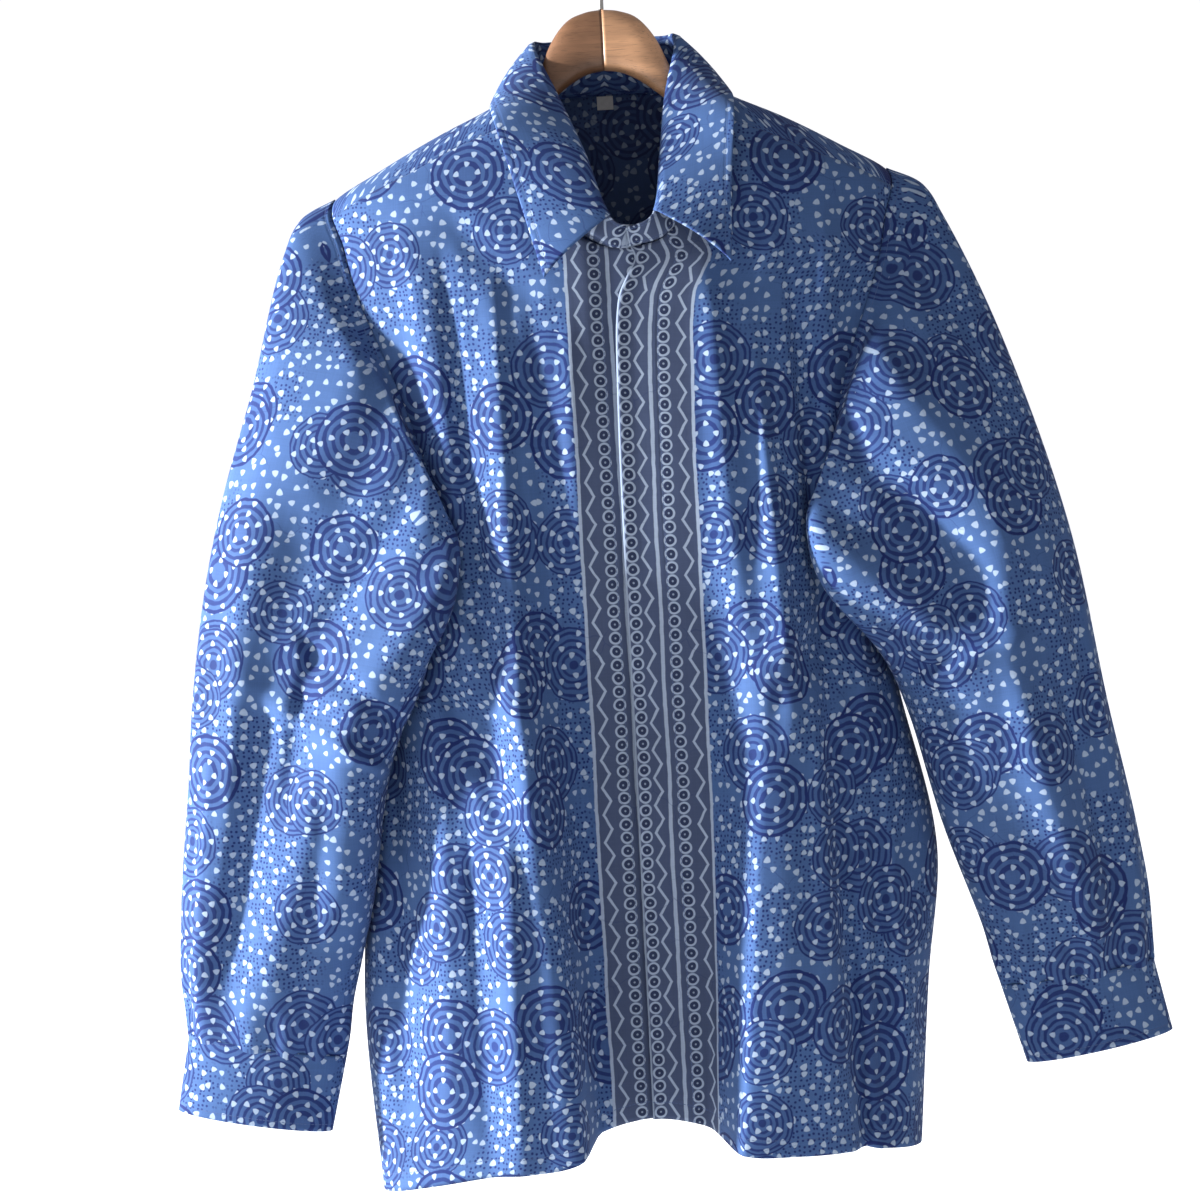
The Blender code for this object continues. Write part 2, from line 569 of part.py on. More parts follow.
def hanger_arm(name, side, slot):
    """One shaped half of the wood, cut square at the joint in the middle."""
    around, steps = 12, 16
    xs = np.concatenate([[0.00025], np.linspace(0, HANGER[-1][0], steps)[1:]])
    bm = bmesh.new()
    made = bmesh.ops.create_grid(bm, x_segments=around, y_segments=len(xs) - 1, size=0.5)
    for vert in made["verts"]:
        turn = 2 * math.pi * (vert.co.x + 0.5)
        x = xs[round((vert.co.y + 0.5) * (len(xs) - 1))]
        top, bottom, thick = (float(spline(x, HANGER, c)) for c in (1, 2, 3))
        flat = abs(math.cos(turn)) ** 0.8 * math.copysign(1, math.cos(turn))
        tall = abs(math.sin(turn)) ** 0.8 * math.copysign(1, math.sin(turn))
        vert.co = (side * x, thick * flat, (top + bottom) / 2 + (top - bottom) / 2 * tall)
    bmesh.ops.remove_doubles(bm, verts=bm.verts, dist=1e-6)
    bmesh.ops.holes_fill(bm, edges=[edge for edge in bm.edges if edge.is_boundary], sides=0)
    bmesh.ops.triangulate(bm, faces=[face for face in bm.faces if len(face.verts) > 4])
    return place(bm, name, slot)


def hook(slot):
    """Steel wire: a stem in the middle of the wood, then the bow over the rail."""
    centre = WIRE_R - HOOK_R
    path = [(0.0, -0.0745), (0.0, -0.0640), (0.0015, -0.0540), (0.0110, -0.0420)]
    for step in range(11):
        turn = math.radians(-20 + 230 * step / 10)
        path.append((HOOK_R * math.cos(turn), centre + HOOK_R * math.sin(turn)))
    curve = bpy.data.curves.new("hanger_hook", "CURVE")
    curve.dimensions = "3D"
    curve.bevel_depth = WIRE_R
    curve.bevel_resolution = 2
    curve.resolution_u = 3
    curve.use_fill_caps = True
    line = curve.splines.new("NURBS")
    line.points.add(len(path) - 1)
    for point, (x, z) in zip(line.points, path):
        point.co = (x, 0.0, z, 1.0)
    line.use_endpoint_u = True
    line.order_u = 3
    curve.materials.append(slot)
    made = bpy.data.objects.new("hanger_hook", curve)
    bpy.context.scene.collection.objects.link(made)


def cuff_button(name, side, slot):
    """A flat button on the lapping end of the cuff, on the hidden side."""
    v, turns = np.array([0.5]), np.array([CUFF_TURNS - 0.045])
    at = cuff_point(side, v, turns, np.array([0.0040]))[0]
    ahead = cuff_point(side, v, turns + 0.01, np.array([0.0040]))[0]
    below = cuff_point(side, v + 0.1, turns, np.array([0.0040]))[0]
    normal = np.cross(ahead - at, below - at)
    normal *= math.copysign(1, normal[1]) / np.linalg.norm(normal)
    bm = bmesh.new()
    bmesh.ops.create_cone(bm, cap_ends=True, segments=20, radius1=CUFF_BUTTON_R, radius2=CUFF_BUTTON_R,
                          depth=0.0022)
    rim = [edge for edge in bm.edges if abs(edge.verts[0].co.z - edge.verts[1].co.z) < 1e-6]
    bmesh.ops.bevel(bm, geom=rim, offset=0.0005, segments=1, affect="EDGES", profile=0.5)
    from_z = Vector((0, 0, 1)).rotation_difference(Vector(normal)).to_matrix().to_4x4()
    stand_off = COLLAR_PLY / 2 + 0.0011 + 0.0006
    bmesh.ops.transform(bm, matrix=Matrix.Translation(at + normal * stand_off) @ from_z, verts=bm.verts)
    place(bm, name, slot)


def size_label(slot):
    """A bare woven label inside the back of the yoke, just under the collar seam."""
    x, z = np.meshgrid(np.linspace(-0.0062, 0.0056, 3), np.linspace(-0.1262, -0.1357, 3))
    points = body(x, z, True)
    points[..., 1] -= CLOTH / 2 + 0.0018 + LABEL_WALL / 2
    sheet("size_label", points, slot, wall=LABEL_WALL)


def main():
    for found in list(bpy.data.objects):
        bpy.data.objects.remove(found, do_unlink=True)
    cloth = material("batik_cloth", CLOTH_COLOUR)
    collar = material("batik_collar_cloth", COLLAR_COLOUR)
    wood_light = material("wood_light", (0.480, 0.270, 0.150), 0.45)
    wood_dark = material("wood_dark", (0.330, 0.170, 0.090), 0.45)
    steel = material("hook_steel", (0.62, 0.61, 0.58), 0.30, 1.0)
    label = material("label_tape", (0.36, 0.33, 0.31), 0.80)
    button = material("button_resin", (0.050, 0.070, 0.150), 0.35)

    # Fronts, back and yoke
    outer = np.concatenate([np.linspace(0, 0.30, 8), np.linspace(0.345, 1.0, 14)])
    for side, name in ((-1, "front_right"), (1, "front_left")):
        start = float(front_top(side, np.array([0.0]))[0])
        rows = with_knees(outer, start, FRONT_HEM[0 if side < 0 else -1][1])
        sheet(name, front_grid(side, 9, 8, rows), cloth)
    sheet("back", back_grid(21, 16), cloth)
    sheet("yoke", yoke_grid(6, 9, 6, 3), cloth, cut_out=(5, 5, 15))

    # Sleeves and cuffs
    for side, name in ((-1, "sleeve_right"), (1, "sleeve_left")):
        sheet(name, sleeve_grid(side, 24, 14), cloth, round_tube=True)
        sheet(name.replace("sleeve", "cuff"), cuff_grid(side, 28, 2), cloth, wall=COLLAR_PLY)
        sheet(name.replace("sleeve", "sleeve_placket"), sleeve_placket_grid(side), cloth)
        cuff_button(name.replace("sleeve", "cuff_button"), side, button)

    # Collar and label
    sheet("collar_stand", stand_grid(30, 3), collar, wall=COLLAR_PLY)
    sheet("collar_leaf", leaf_grid(29, 5), collar, wall=COLLAR_PLY)
    size_label(label)

    # Hanger
    hanger_arm("hanger_arm_left", -1, wood_dark)
    hanger_arm("hanger_arm_right", 1, wood_light)
    hook(steel)


main()
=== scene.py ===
"""Long-sleeved batik shirt on a contoured wooden hanger: the cloth, its print, the wood and the stage.

Metres. +Z is up, the front faces -Y, +X is the viewer's right, and the origin is the inside of the
hook's top. Each cloth piece is a fine grid laid on the garment's form, with creases listed one by one.
"""

import math

import bmesh
import bpy
import numpy as np
from bpy.props import FloatProperty, FloatVectorProperty, PointerProperty
from mathutils import Matrix, Vector


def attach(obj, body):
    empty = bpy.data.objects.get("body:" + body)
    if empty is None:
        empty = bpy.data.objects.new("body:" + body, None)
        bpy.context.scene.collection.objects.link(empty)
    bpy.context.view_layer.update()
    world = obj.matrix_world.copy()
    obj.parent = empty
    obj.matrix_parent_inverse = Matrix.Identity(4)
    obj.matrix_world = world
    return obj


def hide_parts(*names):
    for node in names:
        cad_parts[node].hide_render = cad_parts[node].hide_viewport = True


bl_info = {
    "name": "Batik shirt on a hanger",
    "version": (1, 0, 0),
    "blender": (4, 5, 0),
    "location": "3D View > Sidebar > Batik Shirt",
    "description": "Builds the cloth, print, hanger and stage of a batik shirt round its packed frame",
    "category": "Object",
}

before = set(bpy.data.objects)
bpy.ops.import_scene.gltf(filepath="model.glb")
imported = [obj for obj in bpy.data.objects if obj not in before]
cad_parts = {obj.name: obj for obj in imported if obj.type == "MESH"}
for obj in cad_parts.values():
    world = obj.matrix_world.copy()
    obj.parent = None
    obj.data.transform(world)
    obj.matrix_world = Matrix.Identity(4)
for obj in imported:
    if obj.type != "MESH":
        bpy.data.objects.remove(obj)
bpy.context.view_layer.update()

# ---- Sizes of the form -------------------------------------------------------------------------
# As in the closed solids, but for the collar's places and bow and for the lift of the sleeves.
UNDERARM_Z = -0.476
SHOULDER_Z = -0.203     # top of the armhole
SEAM_TURN = 1.19        # radians round the section over which a panel's columns are spread
BACK_YOKE_Z = -0.236    # seam between yoke and back
ROUND = 2.3             # how square the body's cross-section is; 2 is an ellipse
PLACKET_BEHIND = 0.0030  # how far the under front lies behind the lapping one
UNDER_EDGE_X = 0.016    # free edge of the under front
LAP_RISE = 0.0015       # how far the lapping front's free edge stands up
SLEEVE_LIFT = 0.0009    # how far the sleeve's top edge stands off the armhole
SLEEVE_LAP = 0.0040     # how far it laps over the body's edge
SEAM_SHARE = 0.03       # share of a sleeve's length over which it leaves the armhole
SLEEVE_GAP = 0.0050     # least gap between the body and a sleeve, before its creases
CREASE_GAP = 0.0024     # the same with its creases
CUFF_TURNS = 1.10       # a cuff wraps once round and laps over its own end
CUFF_START = 0.70       # where round the cuff its under end lies, on the hidden side
CUFF_LAP_OUT = 0.0040   # how far its lapping end stands out
BUTTON_BACK = 0.045     # turns from the cuff's lapping end back to the button
BUTTON_OUT = 0.0022     # from the middle of the cuff's cloth to the middle of the button
HOOK_R = 0.0215         # centre line of the hook's bow
WIRE_R = 0.0018         # half the thickness of its wire
HOOK_FOOT = ((0.0, -0.0745), (0.0, -0.0640), (0.0015, -0.0540), (0.0110, -0.0420))
HANGER_END = 0.006      # length over which an arm's end is rounded
LABEL_X = (-0.0062, 0.0056)
LABEL_Z = (-0.1262, -0.1357)
LABEL_WALL = 0.0005
LABEL_OFF = 0.0026      # how far the label stands off the back's cloth
LABEL_CURL = 0.0006     # how much further at its lower edge
LEAF_BOW = 0.0044       # how far the collar's leaf rolls out between fold and edge
LEAF_CENTRE = (0.0, 0.0, -0.150)
LEAF_ENDS = (1, 11)     # first and last of the collar's stations that the leaf reaches
STAND_ENDS = (0, 12)    # the same for the stand
STAND_INSIDE = 0.0008   # how far the stand's foot lies inside the neck seam
STAND_BELOW = 0.231     # where the stand's own cut starts, down the layout of the print
BORDER_WIDE = 0.0525    # printed border, from the front's free edge

# Cross-sections of the body: height, half-width on the viewer's left and right, depth of the
# front and of the back. Above -0.20 the half-width follows the slope of the shoulders.
SECTION = (
    #  z       left    right   front   back
    (-0.110, 0.030, 0.034, 0.026, 0.040),
    (-0.124, 0.049, 0.054, 0.034, 0.050),
    (-0.134, 0.070, 0.074, 0.039, 0.053),
    (-0.142, 0.082, 0.087, 0.042, 0.054),
    (-0.160, 0.121, 0.125, 0.048, 0.055),
    (-0.182, 0.163, 0.164, 0.055, 0.056),
    (-0.203, 0.198, 0.197, 0.061, 0.057),
    (-0.240, 0.203, 0.202, 0.068, 0.058),
    (-0.290, 0.200, 0.199, 0.074, 0.060),
    (-0.370, 0.186, 0.184, 0.080, 0.062),
    (-0.470, 0.168, 0.164, 0.084, 0.064),
    (-0.570, 0.184, 0.183, 0.086, 0.065),
    (-0.680, 0.200, 0.203, 0.087, 0.066),
    (-0.770, 0.207, 0.192, 0.087, 0.066),
    (-0.900, 0.201, 0.179, 0.086, 0.066),
)

# Folds of the fronts and of the back. A fold lies between two edges, each given at its top and
# at its bottom, with the width of the wall there; depth is how far the cloth goes inwards.
FOLD_COLUMNS = ("top", "bottom", "l0", "l1", "lw0", "lw1", "r0", "r1", "rw0", "rw1", "d0", "d1")
FRONT_FOLDS = (
    # top    bottom   l0      l1     lw0    lw1    r0     r1     rw0    rw1    d0      d1
    (-0.33, -0.880, -0.070, -0.051, 0.060, 0.012, 0.080, 0.040, 0.070, 0.020, 0.008, 0.056),
    (-0.40, -0.880, 0.116, 0.132, 0.020, 0.014, 0.120, 0.140, 0.022, 0.016, 0.010, 0.017),
    (-0.33, -0.640, -0.112, -0.106, 0.016, 0.020, -0.110, -0.104, 0.016, 0.020, 0.008, 0.003),
    (-0.52, -0.880, -0.150, -0.120, 0.040, 0.060, -0.100, -0.100, 0.040, 0.030, 0.000, -0.006),
)
BACK_FOLDS = (
    (-0.34, -0.880, -0.088, -0.096, 0.040, 0.030, -0.070, -0.074, 0.040, 0.026, 0.002, 0.022),
    (-0.36, -0.880, 0.062, 0.070, 0.040, 0.030, 0.080, 0.094, 0.040, 0.028, 0.002, 0.020),
    (-0.50, -0.880, -0.012, -0.010, 0.040, 0.040, 0.010, 0.012, 0.040, 0.040, 0.000, -0.008),
)

# Hem of the fronts: height by x. The cloth drawn in at the middle carries the hem up with it.
FRONT_HEM = (
    (-0.205, -0.899), (-0.160, -0.888), (-0.120, -0.880), (-0.062, -0.873), (-0.046, -0.864),
    (-0.010, -0.856), (0.024, -0.862), (0.050, -0.8735), (0.090, -0.877), (0.140, -0.880), (0.185, -0.887),
)
BACK_HEM = (
    (-0.205, -0.899), (-0.120, -0.880), (-0.050, -0.872), (0.050, -0.871), (0.120, -0.876), (0.185, -0.887),
)

# Front neck seam, then the seam between yoke and fronts (by distance from the centre).
NECK = (
    (-0.074, -0.163), (-0.067, -0.190), (-0.052, -0.218), (-0.030, -0.241), (-0.008, -0.2525),
    (0.018, -0.2535), (0.036, -0.246), (0.060, -0.213), (0.071, -0.190), (0.077, -0.163),
)
YOKE_HALF = 0.1974      # half the yoke's width
YOKE_FRONT = ((0.060, -0.156), (0.076, -0.163), (0.112, -0.177), (0.134, -0.188), (0.169, -0.2026),
              (0.191, -0.213), (0.200, -0.217))
BACK_NECK_Z = (-0.1236, -0.0110)  # height at the centre, and the drop to the shoulder line
NECK_HALF = 0.072
NECK_SIDE = (0.0735, -0.163)  # where the fronts' neck seam meets the shoulder line
NECK_CENTRE = (0.0, 0.0, -0.170)

# Armhole: height, and share of the body's half-width, for the front edge and the back edge.
ARMHOLE = (
    #  z      front  back
    (-0.476, 1.000, 1.000),
    (-0.468, 0.900, 0.940),
    (-0.455, 0.810, 0.880),
    (-0.430, 0.775, 0.850),
    (-0.385, 0.790, 0.845),
    (-0.330, 0.840, 0.860),
    (-0.275, 0.910, 0.895),
    (-0.228, 0.962, 0.950),
    (-0.203, 1.000, 1.000),
)

# Free edge of the lapping front: it bows open at the throat.
LAP_EDGE = ((-0.900, -0.0090), (-0.600, -0.0070), (-0.330, -0.0045), (-0.300, -0.0025), (-0.285, 0.0005),
            (-0.273, 0.0065), (-0.262, 0.0120), (-0.252, 0.0085), (-0.245, 0.0060))

# Sleeves on the viewer's left and right: share of the length, outer line, inner line, middle of
# the depth and half the depth.
SLEEVE_LEFT = (
    # v     outer_x  outer_z  inner_x  inner_z  mid_y   half_depth
    (0.000, 0.1990, -0.2040, 0.1680, -0.4770, 0.000, 0.060),
    (0.050, 0.2230, -0.2170, 0.1690, -0.4960, -0.004, 0.058),
    (0.090, 0.2330, -0.2360, 0.1695, -0.5100, -0.008, 0.057),
    (0.255, 0.2600, -0.3380, 0.1720, -0.5600, -0.022, 0.058),
    (0.480, 0.2960, -0.4700, 0.1830, -0.6300, -0.030, 0.054),
    (0.700, 0.3180, -0.6020, 0.1960, -0.7000, -0.028, 0.046),
    (0.900, 0.3320, -0.7250, 0.2150, -0.7680, -0.020, 0.034),
    (1.000, 0.3290, -0.7790, 0.2215, -0.8005, -0.016, 0.023),
)
SLEEVE_RIGHT = (
    (0.000, 0.1990, -0.2040, 0.1640, -0.4770, 0.000, 0.060),
    (0.050, 0.2230, -0.2170, 0.1660, -0.4960, -0.004, 0.058),
    (0.090, 0.2330, -0.2360, 0.1675, -0.5080, -0.008, 0.057),
    (0.255, 0.2640, -0.3180, 0.1740, -0.5400, -0.022, 0.058),
    (0.480, 0.3030, -0.4560, 0.1880, -0.5900, -0.030, 0.054),
    (0.700, 0.3240, -0.5820, 0.2060, -0.6640, -0.028, 0.046),
    (0.900, 0.3450, -0.7000, 0.2320, -0.7420, -0.020, 0.034),
    (1.000, 0.3480, -0.7645, 0.2415, -0.7770, -0.016, 0.023),
)
# Soft folds of the sleeves: place round the sleeve (0 outer, 0.25 front, 0.5 inner), its half
# width, where along the sleeve, half length, and how far it goes out (-) or in (+) and forwards.
SLEEVE_FOLDS = (
    # round  wide   along  long   inward  forward
    (0.36, 0.120, 0.16, 0.20, 0.020, 0.012),
    (0.22, 0.120, 0.10, 0.14, 0.012, 0.014),
    (0.20, 0.040, 0.35, 0.30, 0.006, -0.004),
    (0.10, 0.045, 0.70, 0.25, 0.005, -0.003),
    (0.30, 0.040, 0.80, 0.20, 0.006, -0.003),
    (0.70, 0.060, 0.45, 0.40, 0.006, 0.004),
)
# Cuffs: outer and inner ends at the top and at the bottom, and half the depth there.
CUFF_LEFT = ((0.3300, -0.7802, 0.2215, -0.8020, 0.022), (0.3405, -0.8335, 0.2345, -0.8540, 0.021))
CUFF_RIGHT = ((0.3485, -0.7660, 0.2415, -0.7785, 0.022), (0.3590, -0.8165, 0.2570, -0.8340, 0.021))
CUFF_Y = -0.016

# Collar by stations from the under end, round the back, to the lapping end: where it meets the
# neck seam (front or back, and x), the fold at the stand's top, and the leaf's outer edge.
COLLAR = (
    # front?  seam_x   fold_x   fold_y   fold_z   edge_x   edge_y   edge_z
    (1, 0.0170, 0.0165, -0.0680, -0.2400, 0.0000, 0.0000, 0.0000),
    (1, -0.0080, -0.0030, -0.0745, -0.2335, -0.0490, -0.0775, -0.2735),
    (1, -0.0520, -0.0175, -0.0600, -0.1880, -0.0650, -0.0655, -0.2090),
    (1, -0.0745, -0.0333, -0.0320, -0.1430, -0.0770, -0.0485, -0.1610),
    (0, -0.0700, -0.0485, 0.0050, -0.0985, -0.0780, 0.0000, -0.1378),
    (0, -0.0420, -0.0400, 0.0360, -0.0890, -0.0560, 0.0520, -0.1280),
    (0, 0.0000, 0.0000, 0.0500, -0.0860, 0.0000, 0.0680, -0.1260),
    (0, 0.0440, 0.0420, 0.0360, -0.0890, 0.0590, 0.0520, -0.1280),
    (0, 0.0720, 0.0510, 0.0050, -0.0985, 0.0830, 0.0000, -0.1380),
    (1, 0.0755, 0.0405, -0.0250, -0.1450, 0.0850, -0.0505, -0.1610),
    (1, 0.0600, 0.0340, -0.0520, -0.1880, 0.0800, -0.0680, -0.2090),
    (1, 0.0360, 0.0265, -0.0745, -0.2320, 0.0755, -0.0800, -0.2700),
    (1, 0.0090, 0.0070, -0.0750, -0.2420, 0.0000, 0.0000, 0.0000),
)

# Hanger, half of it: distance from the centre, top and bottom of the wood, half its thickness.
HANGER = (
    #  x      top     bottom   half_thick
    (0.000, -0.0750, -0.1180, 0.0095),
    (0.012, -0.0766, -0.1200, 0.0094),
    (0.026, -0.0830, -0.1275, 0.0092),
    (0.038, -0.0985, -0.1370, 0.0080),
    (0.048, -0.1210, -0.1460, 0.0066),
    (0.058, -0.1345, -0.1560, 0.0080),
    (0.072, -0.1460, -0.1660, 0.0100),
    (0.095, -0.1560, -0.1780, 0.0125),
    (0.130, -0.1700, -0.1960, 0.0150),
    (0.165, -0.1880, -0.2150, 0.0165),
    (0.188, -0.2010, -0.2280, 0.0170),
    (0.200, -0.2120, -0.2300, 0.0120),
)

# Creases of the fronts and the back, each along a line from one end to the other: how wide it is
# on its viewer's-left and viewer's-right flank, and how far it stands out (+) or goes in (-).
FRONT_CREASES = (
    # x0      z0      x1      z1      left   right  out
    (-0.082, -0.560, -0.070, -0.885, 0.052, 0.018, 0.0105),
    (-0.160, -0.560, -0.160, -0.885, 0.030, 0.032, -0.0080),
    (0.100, -0.420, 0.090, -0.885, 0.030, 0.016, 0.0060),
    (0.150, -0.500, 0.150, -0.885, 0.024, 0.024, -0.0060),
    (-0.146, -0.225, -0.100, -0.560, 0.012, 0.018, 0.0056),
    (-0.118, -0.270, -0.098, -0.640, 0.007, 0.009, -0.0050),
    (-0.086, -0.290, -0.080, -0.700, 0.014, 0.008, 0.0080),
    (-0.060, -0.300, -0.056, -0.660, 0.008, 0.012, -0.0043),
    (-0.036, -0.300, -0.040, -0.520, 0.007, 0.007, 0.0027),
    (-0.140, -0.520, -0.150, -0.880, 0.016, 0.012, 0.0102),
    (-0.121, -0.640, -0.118, -0.885, 0.008, 0.010, -0.0059),
    (-0.096, -0.640, -0.100, -0.885, 0.010, 0.007, 0.0059),
    (-0.160, -0.440, -0.070, -0.600, 0.012, 0.008, 0.0040),
    (-0.166, -0.470, -0.080, -0.680, 0.008, 0.012, -0.0040),
    (-0.172, -0.540, -0.180, -0.860, 0.008, 0.010, -0.0051),
    (0.062, -0.280, 0.070, -0.560, 0.012, 0.010, 0.0059),
    (0.090, -0.330, 0.104, -0.600, 0.009, 0.007, 0.0076),
    (0.118, -0.280, 0.128, -0.560, 0.006, 0.010, -0.0085),
    (0.146, -0.235, 0.126, -0.520, 0.010, 0.012, 0.0054),
    (0.150, -0.470, 0.172, -0.860, 0.010, 0.010, 0.0076),
    (0.120, -0.560, 0.112, -0.870, 0.010, 0.008, 0.0068),
    (0.158, -0.450, 0.084, -0.590, 0.008, 0.011, -0.0042),
    (0.160, -0.470, 0.070, -0.560, 0.009, 0.009, 0.0030),
    (0.066, -0.600, 0.046, -0.880, 0.006, 0.006, -0.0024),
    (0.158, -0.560, 0.150, -0.880, 0.007, 0.009, -0.0068),
    (-0.120, -0.215, -0.062, -0.290, 0.012, 0.012, -0.0034),
    (0.110, -0.200, 0.070, -0.290, 0.012, 0.012, -0.0037),
)
BACK_CREASES = (
    (-0.150, -0.260, -0.120, -0.480, 0.012, 0.010, 0.0068),
    (-0.118, -0.320, -0.110, -0.700, 0.008, 0.010, -0.0059),
    (-0.060, -0.245, -0.066, -0.560, 0.010, 0.008, 0.0068),
    (-0.028, -0.400, -0.034, -0.860, 0.010, 0.012, 0.0059),
    (0.020, -0.260, 0.016, -0.620, 0.010, 0.012, -0.0051),
    (0.052, -0.245, 0.058, -0.580, 0.008, 0.010, 0.0068),
    (0.108, -0.300, 0.118, -0.720, 0.010, 0.008, 0.0068),
    (0.150, -0.270, 0.118, -0.470, 0.010, 0.012, -0.0051),
    (0.160, -0.475, 0.070, -0.600, 0.008, 0.010, 0.0054),
    (-0.164, -0.475, -0.080, -0.590, 0.010, 0.008, 0.0054),
    (-0.150, -0.540, -0.164, -0.880, 0.012, 0.010, 0.0076),
    (0.148, -0.560, 0.160, -0.870, 0.010, 0.012, 0.0076),
)
# Creases of the sleeves on the viewer's left and right, laid out flat: metres round from the outer
# line towards the front, and metres down from the armhole.
CREASES_ON_LEFT = (
    # a0     b0     a1     b1     fore   aft    out
    (0.080, 0.060, 0.080, 0.560, 0.026, 0.028, -0.0130),
    (0.140, 0.120, 0.134, 0.460, 0.016, 0.022, 0.0110),
    (0.128, 0.020, 0.120, 0.330, 0.008, 0.012, 0.0090),
    (0.098, 0.040, 0.094, 0.400, 0.010, 0.010, -0.0075),
    (0.150, 0.060, 0.130, 0.260, 0.006, 0.008, -0.0045),
    (0.060, 0.010, 0.068, 0.180, 0.012, 0.010, 0.0045),
    (0.070, 0.300, 0.062, 0.560, 0.010, 0.012, -0.0067),
    (0.108, 0.330, 0.092, 0.585, 0.012, 0.010, 0.0075),
    (0.036, 0.380, 0.040, 0.585, 0.009, 0.009, 0.0045),
    (0.150, 0.250, 0.060, 0.330, 0.010, 0.006, 0.0042),
    (0.150, 0.190, 0.080, 0.250, 0.007, 0.010, -0.0039),
    (0.010, 0.150, 0.020, 0.420, 0.010, 0.012, 0.0037),
    (-0.060, 0.060, -0.066, 0.420, 0.010, 0.012, 0.0067),
    (-0.100, 0.100, -0.090, 0.500, 0.012, 0.009, -0.0067),
    (-0.120, 0.230, -0.060, 0.320, 0.008, 0.008, 0.0045),
    (-0.030, 0.400, -0.036, 0.585, 0.009, 0.009, -0.0045),
)
CREASES_ON_RIGHT = (
    # a0     b0     a1     b1     fore   aft    out
    (0.104, 0.030, 0.112, 0.270, 0.018, 0.022, -0.0080),
    (0.066, 0.020, 0.072, 0.300, 0.008, 0.012, 0.0075),
    (0.092, 0.020, 0.094, 0.300, 0.007, 0.009, -0.0083),
    (0.126, 0.030, 0.120, 0.260, 0.009, 0.011, 0.0083),
    (0.030, 0.030, 0.040, 0.240, 0.010, 0.012, -0.0037),
    (0.150, 0.250, 0.070, 0.330, 0.006, 0.010, 0.0045),
    (0.146, 0.290, 0.080, 0.400, 0.009, 0.007, -0.0039),
    (0.090, 0.330, 0.082, 0.585, 0.012, 0.010, 0.0069),
    (0.060, 0.360, 0.056, 0.585, 0.010, 0.009, -0.0060),
    (0.026, 0.330, 0.034, 0.585, 0.009, 0.010, 0.0048),
    (-0.056, 0.060, -0.060, 0.420, 0.010, 0.012, 0.0067),
    (-0.096, 0.100, -0.088, 0.500, 0.012, 0.009, -0.0067),
    (-0.120, 0.220, -0.060, 0.310, 0.008, 0.008, 0.0045),
    (-0.028, 0.400, -0.034, 0.585, 0.009, 0.009, -0.0045),
)
SLEEVE_ROUND = 0.36     # girth and length of a sleeve laid flat, for its creases
SLEEVE_LONG = 0.60
GATHERS = 11            # soft gathers where a sleeve meets its cuff
GATHER_DEEP = 0.0016


# ---- Form --------------------------------------------------------------------------------------
def spline(at, rows, column):
    """A smooth curve through one column of a table, by its first column."""
    rows = sorted(rows)
    xs = np.array([row[0] for row in rows], float)
    ys = np.array([row[column] for row in rows], float)
    chord = np.diff(ys) / np.diff(xs)
    slope = np.concatenate([chord[:1], (chord[1:] + chord[:-1]) / 2, chord[-1:]])
    at = np.clip(np.asarray(at, float), xs[0], xs[-1])
    i = np.clip(np.searchsorted(xs, at) - 1, 0, len(xs) - 2)
    step = xs[i + 1] - xs[i]
    t = (at - xs[i]) / step
    return ((2 * t**3 - 3 * t**2 + 1) * ys[i] + (t**3 - 2 * t**2 + t) * step * slope[i]
            + (3 * t**2 - 2 * t**3) * ys[i + 1] + (t**3 - t**2) * step * slope[i + 1])


def ease(t):
    t = np.clip(t, 0.0, 1.0)
    return t * t * (3 - 2 * t)


def half_width(side, z):
    """Half-width of the body on one side: -1 is the viewer's left, 1 the right."""
    return spline(z, SECTION, 1 if side < 0 else 2)


def depth_at(x, z, back):
    """How far the smooth body stands from its middle plane at x, before the folds."""
    wide = np.where(x < 0, half_width(-1, z), half_width(1, z))
    share = np.clip(np.abs(x) / wide, 0.0, 1.0)
    deep = spline(z, SECTION, 4 if back else 3)
    return deep * (1 - share**ROUND) ** (1 / ROUND)


def folds(x, z, rows):
    """How far the folds take the cloth inwards at x and z."""
    total = np.zeros(np.broadcast(x, z).shape)
    for row in rows:
        f = dict(zip(FOLD_COLUMNS, row))
        t = np.clip((z - f["top"]) / (f["bottom"] - f["top"]), 0.0, 1.0)
        mix = lambda a, b: f[a] + (f[b] - f[a]) * t
        into = ease((x - mix("l0", "l1")) / mix("lw0", "lw1") + 0.5)
        out = ease((x - mix("r0", "r1")) / mix("rw0", "rw1") + 0.5)
        fade = ease((f["top"] + 0.02 - z) / 0.10)
        total = total + mix("d0", "d1") * ease(t * 2.2) * fade * (into - out)
    return total


def along_creases(a, b, rows):
    """Height of the listed creases over a flat layout of the cloth."""
    total = np.zeros(np.broadcast(a, b).shape)
    for a0, b0, a1, b1, near, far, out in rows:
        length = math.hypot(a1 - a0, b1 - b0)
        ua, ub = (a1 - a0) / length, (b1 - b0) / length
        t = ((a - a0) * ua + (b - b0) * ub) / length
        across = (a - a0) * abs(ub) - (b - b0) * ua * math.copysign(1, ub)
        wide = np.where(across < 0, near, far) * (0.75 + 0.5 * np.clip(t, 0, 1))
        ends = ease((t + 0.15) / 0.40) * ease((1.10 - t) / 0.30)
        total = total + out * np.exp(-(across / wide) ** 2) * ends
    return total


def creased(x, z, back):
    """Creases of the body, fading out towards the neck and the shoulders."""
    return along_creases(x, z, BACK_CREASES if back else FRONT_CREASES) * ease((-0.20 - z) / 0.05)


